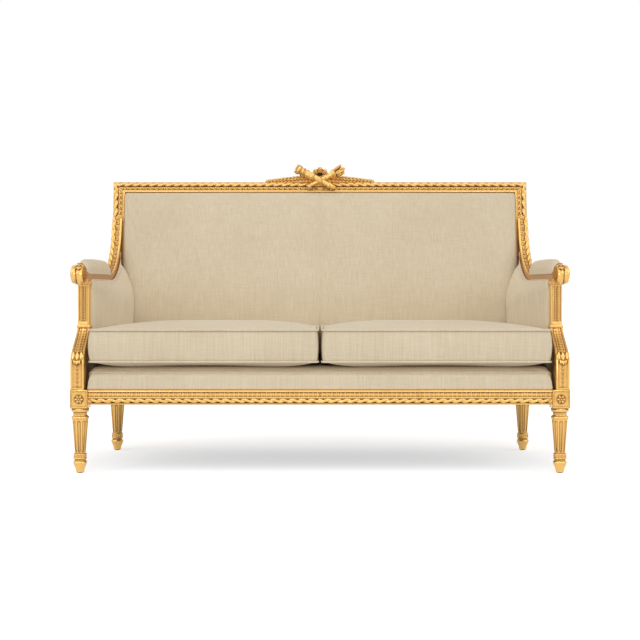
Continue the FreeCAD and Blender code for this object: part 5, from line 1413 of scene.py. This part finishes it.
# Arm pads: small hair pads nailed along the straight of each arm rail and covered in the linen.
# The cover is drawn down tight at both ends and tacked under a narrow fold along the rail.
pad_half = 22.4
pad_front, pad_rear = 50, 433.5
pad_low, pad_high = 662.6, 711
pad_lap = 8


def pad_top(s, t):
    """The upper face: a low dome that falls steeply at both ends."""
    u = (2 * s - 1) * pad_half
    v = pad_front + t * (pad_rear - pad_front)
    ends = min(t, 1 - t) * (pad_rear - pad_front)
    end = math.sqrt(max(0.0, 1 - max(0.0, 1 - ends / 46) ** 2))
    dome = 0.84 + 0.16 * math.sin(math.pi * t)
    side = 1 - 0.72 * abs(2 * s - 1) ** 2.6
    narrow = 0.80 + 0.20 * end
    return u * narrow, v, pad_low + 8 + (pad_high - pad_low - 8) * side * end * dome


def pad_base(s, t):
    """The underside: flat on the rail, with its long edges drawn down over the rail's sides."""
    u, v, z = pad_top(s, t)
    if s in (0, 1) and 0.01 < t < 0.99:
        return math.copysign(max(abs(u), arm_half + 1.6), u), v, pad_low - pad_lap
    return u, v, pad_low


def pad_wall(s, t, level):
    low_u, v, low_z = pad_base(s, t)
    u, v, z = pad_top(s, t)
    return low_u + (u - low_u) * level, v, low_z + (z - low_z) * level


pad_shape, _ = pillow(12, 64, 4, pad_top, pad_wall, pad_base)
pad_sewn = [k for k, p in enumerate(pad_shape.points) if p[2] < pad_low + 2]
for side, turn in hands:
    arm_pad = linen_piece(f"linen_arm_pad_{side}", turn(pad_shape.placed(arm_place)),
                          [f"arm_pad_cover_{side}", f"arm_pad_stuffing_{side}"])
    plumped(arm_pad, pad_sewn, pressure=2.0, reach=0.002)

# Outside covers: linen stretched over the outside of the back and arms and tacked inside the show-wood.
# They are single sheets, each made as a thin closed sheet over a grid.
outside_half, outside_low, outside_high, outside_y = 741, 6, 701, 39.8
sheet_half = 1.2


def sheet_shape(columns, rows, place, thick):
    """A closed thin sheet over a grid, from a place function and the direction of its thickness."""
    front = np.array([[place(i / columns, j / rows) for j in range(rows + 1)] for i in range(columns + 1)])
    rings = np.concatenate((front + np.array(thick), (front - np.array(thick))[:, ::-1]), axis=1)
    return shell(rings)


def outside_back_place(s, t):
    slack = math.sin(math.pi * s) ** 0.5 * math.sin(math.pi * t) ** 0.5
    return (2 * s - 1) * outside_half, outside_y - 0.8 * slack, outside_low + t * (outside_high - outside_low)


outside_back_shape = sheet_shape(60, 30, outside_back_place, (0, sheet_half, 0))
outside_back = linen_piece("linen_outside_back", outside_back_shape.placed(back_frame),
                           ["outside_back_cover"])

outside_u = 17.6
outside_console = [(v + half + 1.5, z) for (v, z), half in zip(console_line, console_half)]
outside_corner = post_v + post_half + 1.5


def outside_arm_place(s, t):
    """A place on the outside arm cover: behind the console and post, under the rail and up to the stile."""
    v = outside_corner
    for _ in range(9):
        z = seat_top + 0.8 + t * (arm_top_at(v) - 1.0 - seat_top)
        front = np.interp(z, [p[1] for p in outside_console], [p[0] for p in outside_console])
        v = front + s * (stile_face_at(z) - front)
    slack = math.sin(math.pi * s) ** 0.5 * math.sin(math.pi * t) ** 0.5
    return outside_u - 0.5 * slack, v, z


outside_arm = sheet_shape(36, 30, outside_arm_place, (sheet_half, 0, 0)).placed(side_frame)
for side, turn in hands:
    outside_cover = linen_piece(f"linen_outside_arm_{side}", turn(outside_arm), [f"outside_arm_cover_{side}"])

# Dust cover: black cotton tacked under the seat rails to keep the stuffing's dust in.
# It is one stretched sheet, cut round the legs.
cotton, cotton_nodes, cotton_shader = finish_of("black_cotton", Roughness=0.9)
cotton_place = cotton_nodes.node("ShaderNodeTexCoord")[3]
cotton_fibre = cotton_nodes.speckle(cotton_place, 0.002, 3.0)
cotton_tone = cotton_nodes.mixed(cotton_fibre, colour(26, 26, 27), colour(44, 43, 42))
cotton.node_tree.links.new(cotton_tone.socket, cotton_shader.inputs["Base Color"])
dust_front, dust_rear = front_leg_y - 14, rear_leg_y + 14
dust_z, dust_half_thick = 225.4, 0.4


def dust_place(s, t):
    """A place on the dust cover, narrower at both ends where it is cut round the leg blocks."""
    y = dust_front + t * (dust_rear - dust_front)
    half = front_leg_x + 10 - (y - front_leg_y) * math.tan(skew)
    near_leg = min(y - front_leg_y, rear_leg_y - y)
    half -= (block_half + 12) if near_leg < block_half + 2 else 0
    return (2 * s - 1) * half, y, dust_z


dust_shape = sheet_shape(30, 40, dust_place, (0, 0, dust_half_thick)).placed(millimetre)
dust = finished("black_dust_cover", dust_shape, cotton, ["dust_cover"], edge=80)

# Cushions: two loose box cushions of down over a firm core, in linen with piped seams top and bottom.
# Each is sewn from a top, a bottom and a boxing strip, filled until its faces crown and its sides swell.
cushion_inner = 8.5
cushion_front = front_plane + 10
cushion_rear = front_plane + 559
welt_low, welt_high = 366, 470
cushion_crown, cushion_belly = 20, 11.5
cushion_corner = 16
cushion_swell = 7
cushion_gap = 9
front_sag, sag_place, sag_length = 11, 32, 24
welt_radius, welt_out = 3.5, 2.0


def cushion_plan(s, t):
    """A place on the cushion's plan: straight inner side, outer side along the arm, rounded corners."""
    y = cushion_front + t * (cushion_rear - cushion_front)
    outer = seat_half_width(y - front_plane) - cushion_gap
    x = cushion_inner + s * (outer - cushion_inner)
    return rounded_corner(x, y, (cushion_inner, cushion_front), (outer, cushion_rear), cushion_corner)


def cushion_fullness(s, t, power):
    """How full the filling is at a place on the plan, from 0 along the seams to 1."""
    return (1 - abs(2 * s - 1) ** power) * (1 - abs(2 * t - 1) ** power)


def cushion_top(s, t):
    x, y = cushion_plan(s, t)
    return x, y, welt_high + cushion_crown * cushion_fullness(s, t, 5)


def cushion_bottom(s, t):
    x, y = cushion_plan(s, t)
    near_front = math.exp(-((y - cushion_front - sag_place) / sag_length) ** 2)
    sag = front_sag * near_front * (1 - abs(2 * s - 1) ** 10) * min(1, 12 * t)
    return x, y, welt_low - cushion_belly * cushion_fullness(s, t, 9) - sag


def cushion_wall(s, t, level):
    x, y = cushion_plan(s, t)
    swell = cushion_swell * math.sin(math.pi * level) ** 0.8
    if t == 0:
        y -= 0.6 * swell
    if s == 1:
        x += swell
    if s == 0:
        x -= 0.5 * swell
    return x, y, welt_low + (welt_high - welt_low) * level


cushion_columns, cushion_rows = 64, 48
cushion_shape, cushion_seams = pillow(cushion_columns, cushion_rows, 9,
                                      cushion_top, cushion_wall, cushion_bottom)
across = np.linspace(0, 1, cushion_columns + 1)
along = np.linspace(0, 1, cushion_rows + 1)
cushion_loop = [cushion_plan(s, 0) for s in across[:-1]] + [cushion_plan(1, t) for t in along[:-1]]
cushion_loop += [cushion_plan(s, 1) for s in across[:0:-1]] + [cushion_plan(0, t) for t in along[:0:-1]]
loop_ahead = np.roll(cushion_loop, -1, axis=0) - np.roll(cushion_loop, 1, axis=0)
loop_out = np.stack((loop_ahead[:, 1], -loop_ahead[:, 0]), axis=1)
loop_out /= np.linalg.norm(loop_ahead, axis=1, keepdims=True)
piping_loop = np.array(cushion_loop) + welt_out * loop_out
piping = joined([tube([(x, y, z) for x, y in piping_loop], welt_radius, 10, True)
                 for z in (welt_low, welt_high)])
for side, turn in hands:
    body = f"seat_cushion_{side}"
    cushion = linen_piece(f"linen_cushion_{side}", turn(cushion_shape.placed(millimetre)),
                          [f"seat_cushion_cover_{side}", f"seat_cushion_core_{side}"], body)
    plumped(cushion, cushion_seams, pressure=4.0, reach=0.006)
    linen_piece(f"cushion_piping_{side}", turn(piping.placed(millimetre)),
                [f"seat_cushion_piping_{side}"], body)

# Studio: a pale floor that keeps the soft shadow, white all round, and soft light from above and both sides.
# The camera stands about four and a half metres off at half the settee's height, as in the photograph.
floor_mesh = bpy.data.meshes.new("studio_floor")
floor_mesh.from_pydata([(-60, -60, 0), (60, -60, 0), (60, 60, 0), (-60, 60, 0)], [], [(0, 1, 2, 3)])
floor = bpy.data.objects.new("studio_floor", floor_mesh)
bpy.context.scene.collection.objects.link(floor)
floor_paint, floor_nodes, floor_shader = finish_of("white_studio_floor", Roughness=1.0)
floor_shader.inputs["Specular IOR Level"].default_value = 0.0
floor_shader.inputs["Base Color"].default_value = (0.8, 0.8, 0.8, 1)


def in_view(nodes):
    """1 for rays from the camera, or by way of metal or glass, and 0 for the light on the object."""
    rays = nodes.node("ShaderNodeLightPath")
    return rays[0].math("MAXIMUM", rays[3]).math("MAXIMUM", rays[6])


floor_glow = floor_nodes.mixed(in_view(floor_nodes), (0, 0, 0, 1), (1, 1, 1, 1))
floor_paint.node_tree.links.new(floor_glow.socket, floor_shader.inputs["Emission Color"])
floor_shader.inputs["Emission Strength"].default_value = 0.52
floor_mesh.materials.append(floor_paint)

world = bpy.data.worlds.new("studio")
bpy.context.scene.world = world
world.use_nodes = True
ambient = 0.42
world_strength = in_view(Nodes(world.node_tree)) * (1 - ambient) + ambient
background = world.node_tree.nodes["Background"]
background.inputs["Color"].default_value = (1, 1, 1, 1)
world.node_tree.links.new(world_strength.socket, background.inputs["Strength"])


def soft_sun(name, strength, spread, lift, swing):
    """A broad even light from a height and a side, both in degrees, as from a large diffuser."""
    lamp = bpy.data.lights.new(name, "SUN")
    lamp.energy = strength
    lamp.angle = math.radians(spread)
    sun = bpy.data.objects.new(name, lamp)
    sun.rotation_euler = (math.radians(90 - lift), 0, math.radians(swing))
    bpy.context.scene.collection.objects.link(sun)


soft_sun("high_diffuser", strength=0.6, spread=60, lift=52, swing=-10)
soft_sun("left_diffuser", strength=0.75, spread=50, lift=30, swing=-66)
soft_sun("right_diffuser", strength=0.8, spread=50, lift=30, swing=66)


def soft_box(name, power, size, place, aim):
    """A square diffuser lamp at a place, aimed at a point of the settee."""
    lamp = bpy.data.lights.new(name, "AREA")
    lamp.energy = power
    lamp.size = size
    box = bpy.data.objects.new(name, lamp)
    box.location = place
    box.rotation_euler = (Vector(aim) - Vector(place)).to_track_quat("-Z", "Y").to_euler()
    bpy.context.scene.collection.objects.link(box)


soft_box("left_soft_box", power=3.0, size=0.35, place=(-0.85, -2.0, 0.9), aim=(0.1, 0, 0.5))
soft_box("right_soft_box", power=2.7, size=0.35, place=(0.85, -2.0, 0.8), aim=(-0.1, 0, 0.5))

camera_data = bpy.data.cameras.new("camera")
camera_data.lens = 75.54
camera_data.sensor_width = 36
camera_data.shift_y = -0.0469
camera = bpy.data.objects.new("camera", camera_data)
camera.location = (0.0, -4.7775, 0.6025)
camera.rotation_euler = (math.radians(90), 0, 0)
bpy.context.scene.collection.objects.link(camera)
bpy.context.scene.camera = camera
bpy.context.scene.view_settings.view_transform = "Standard"
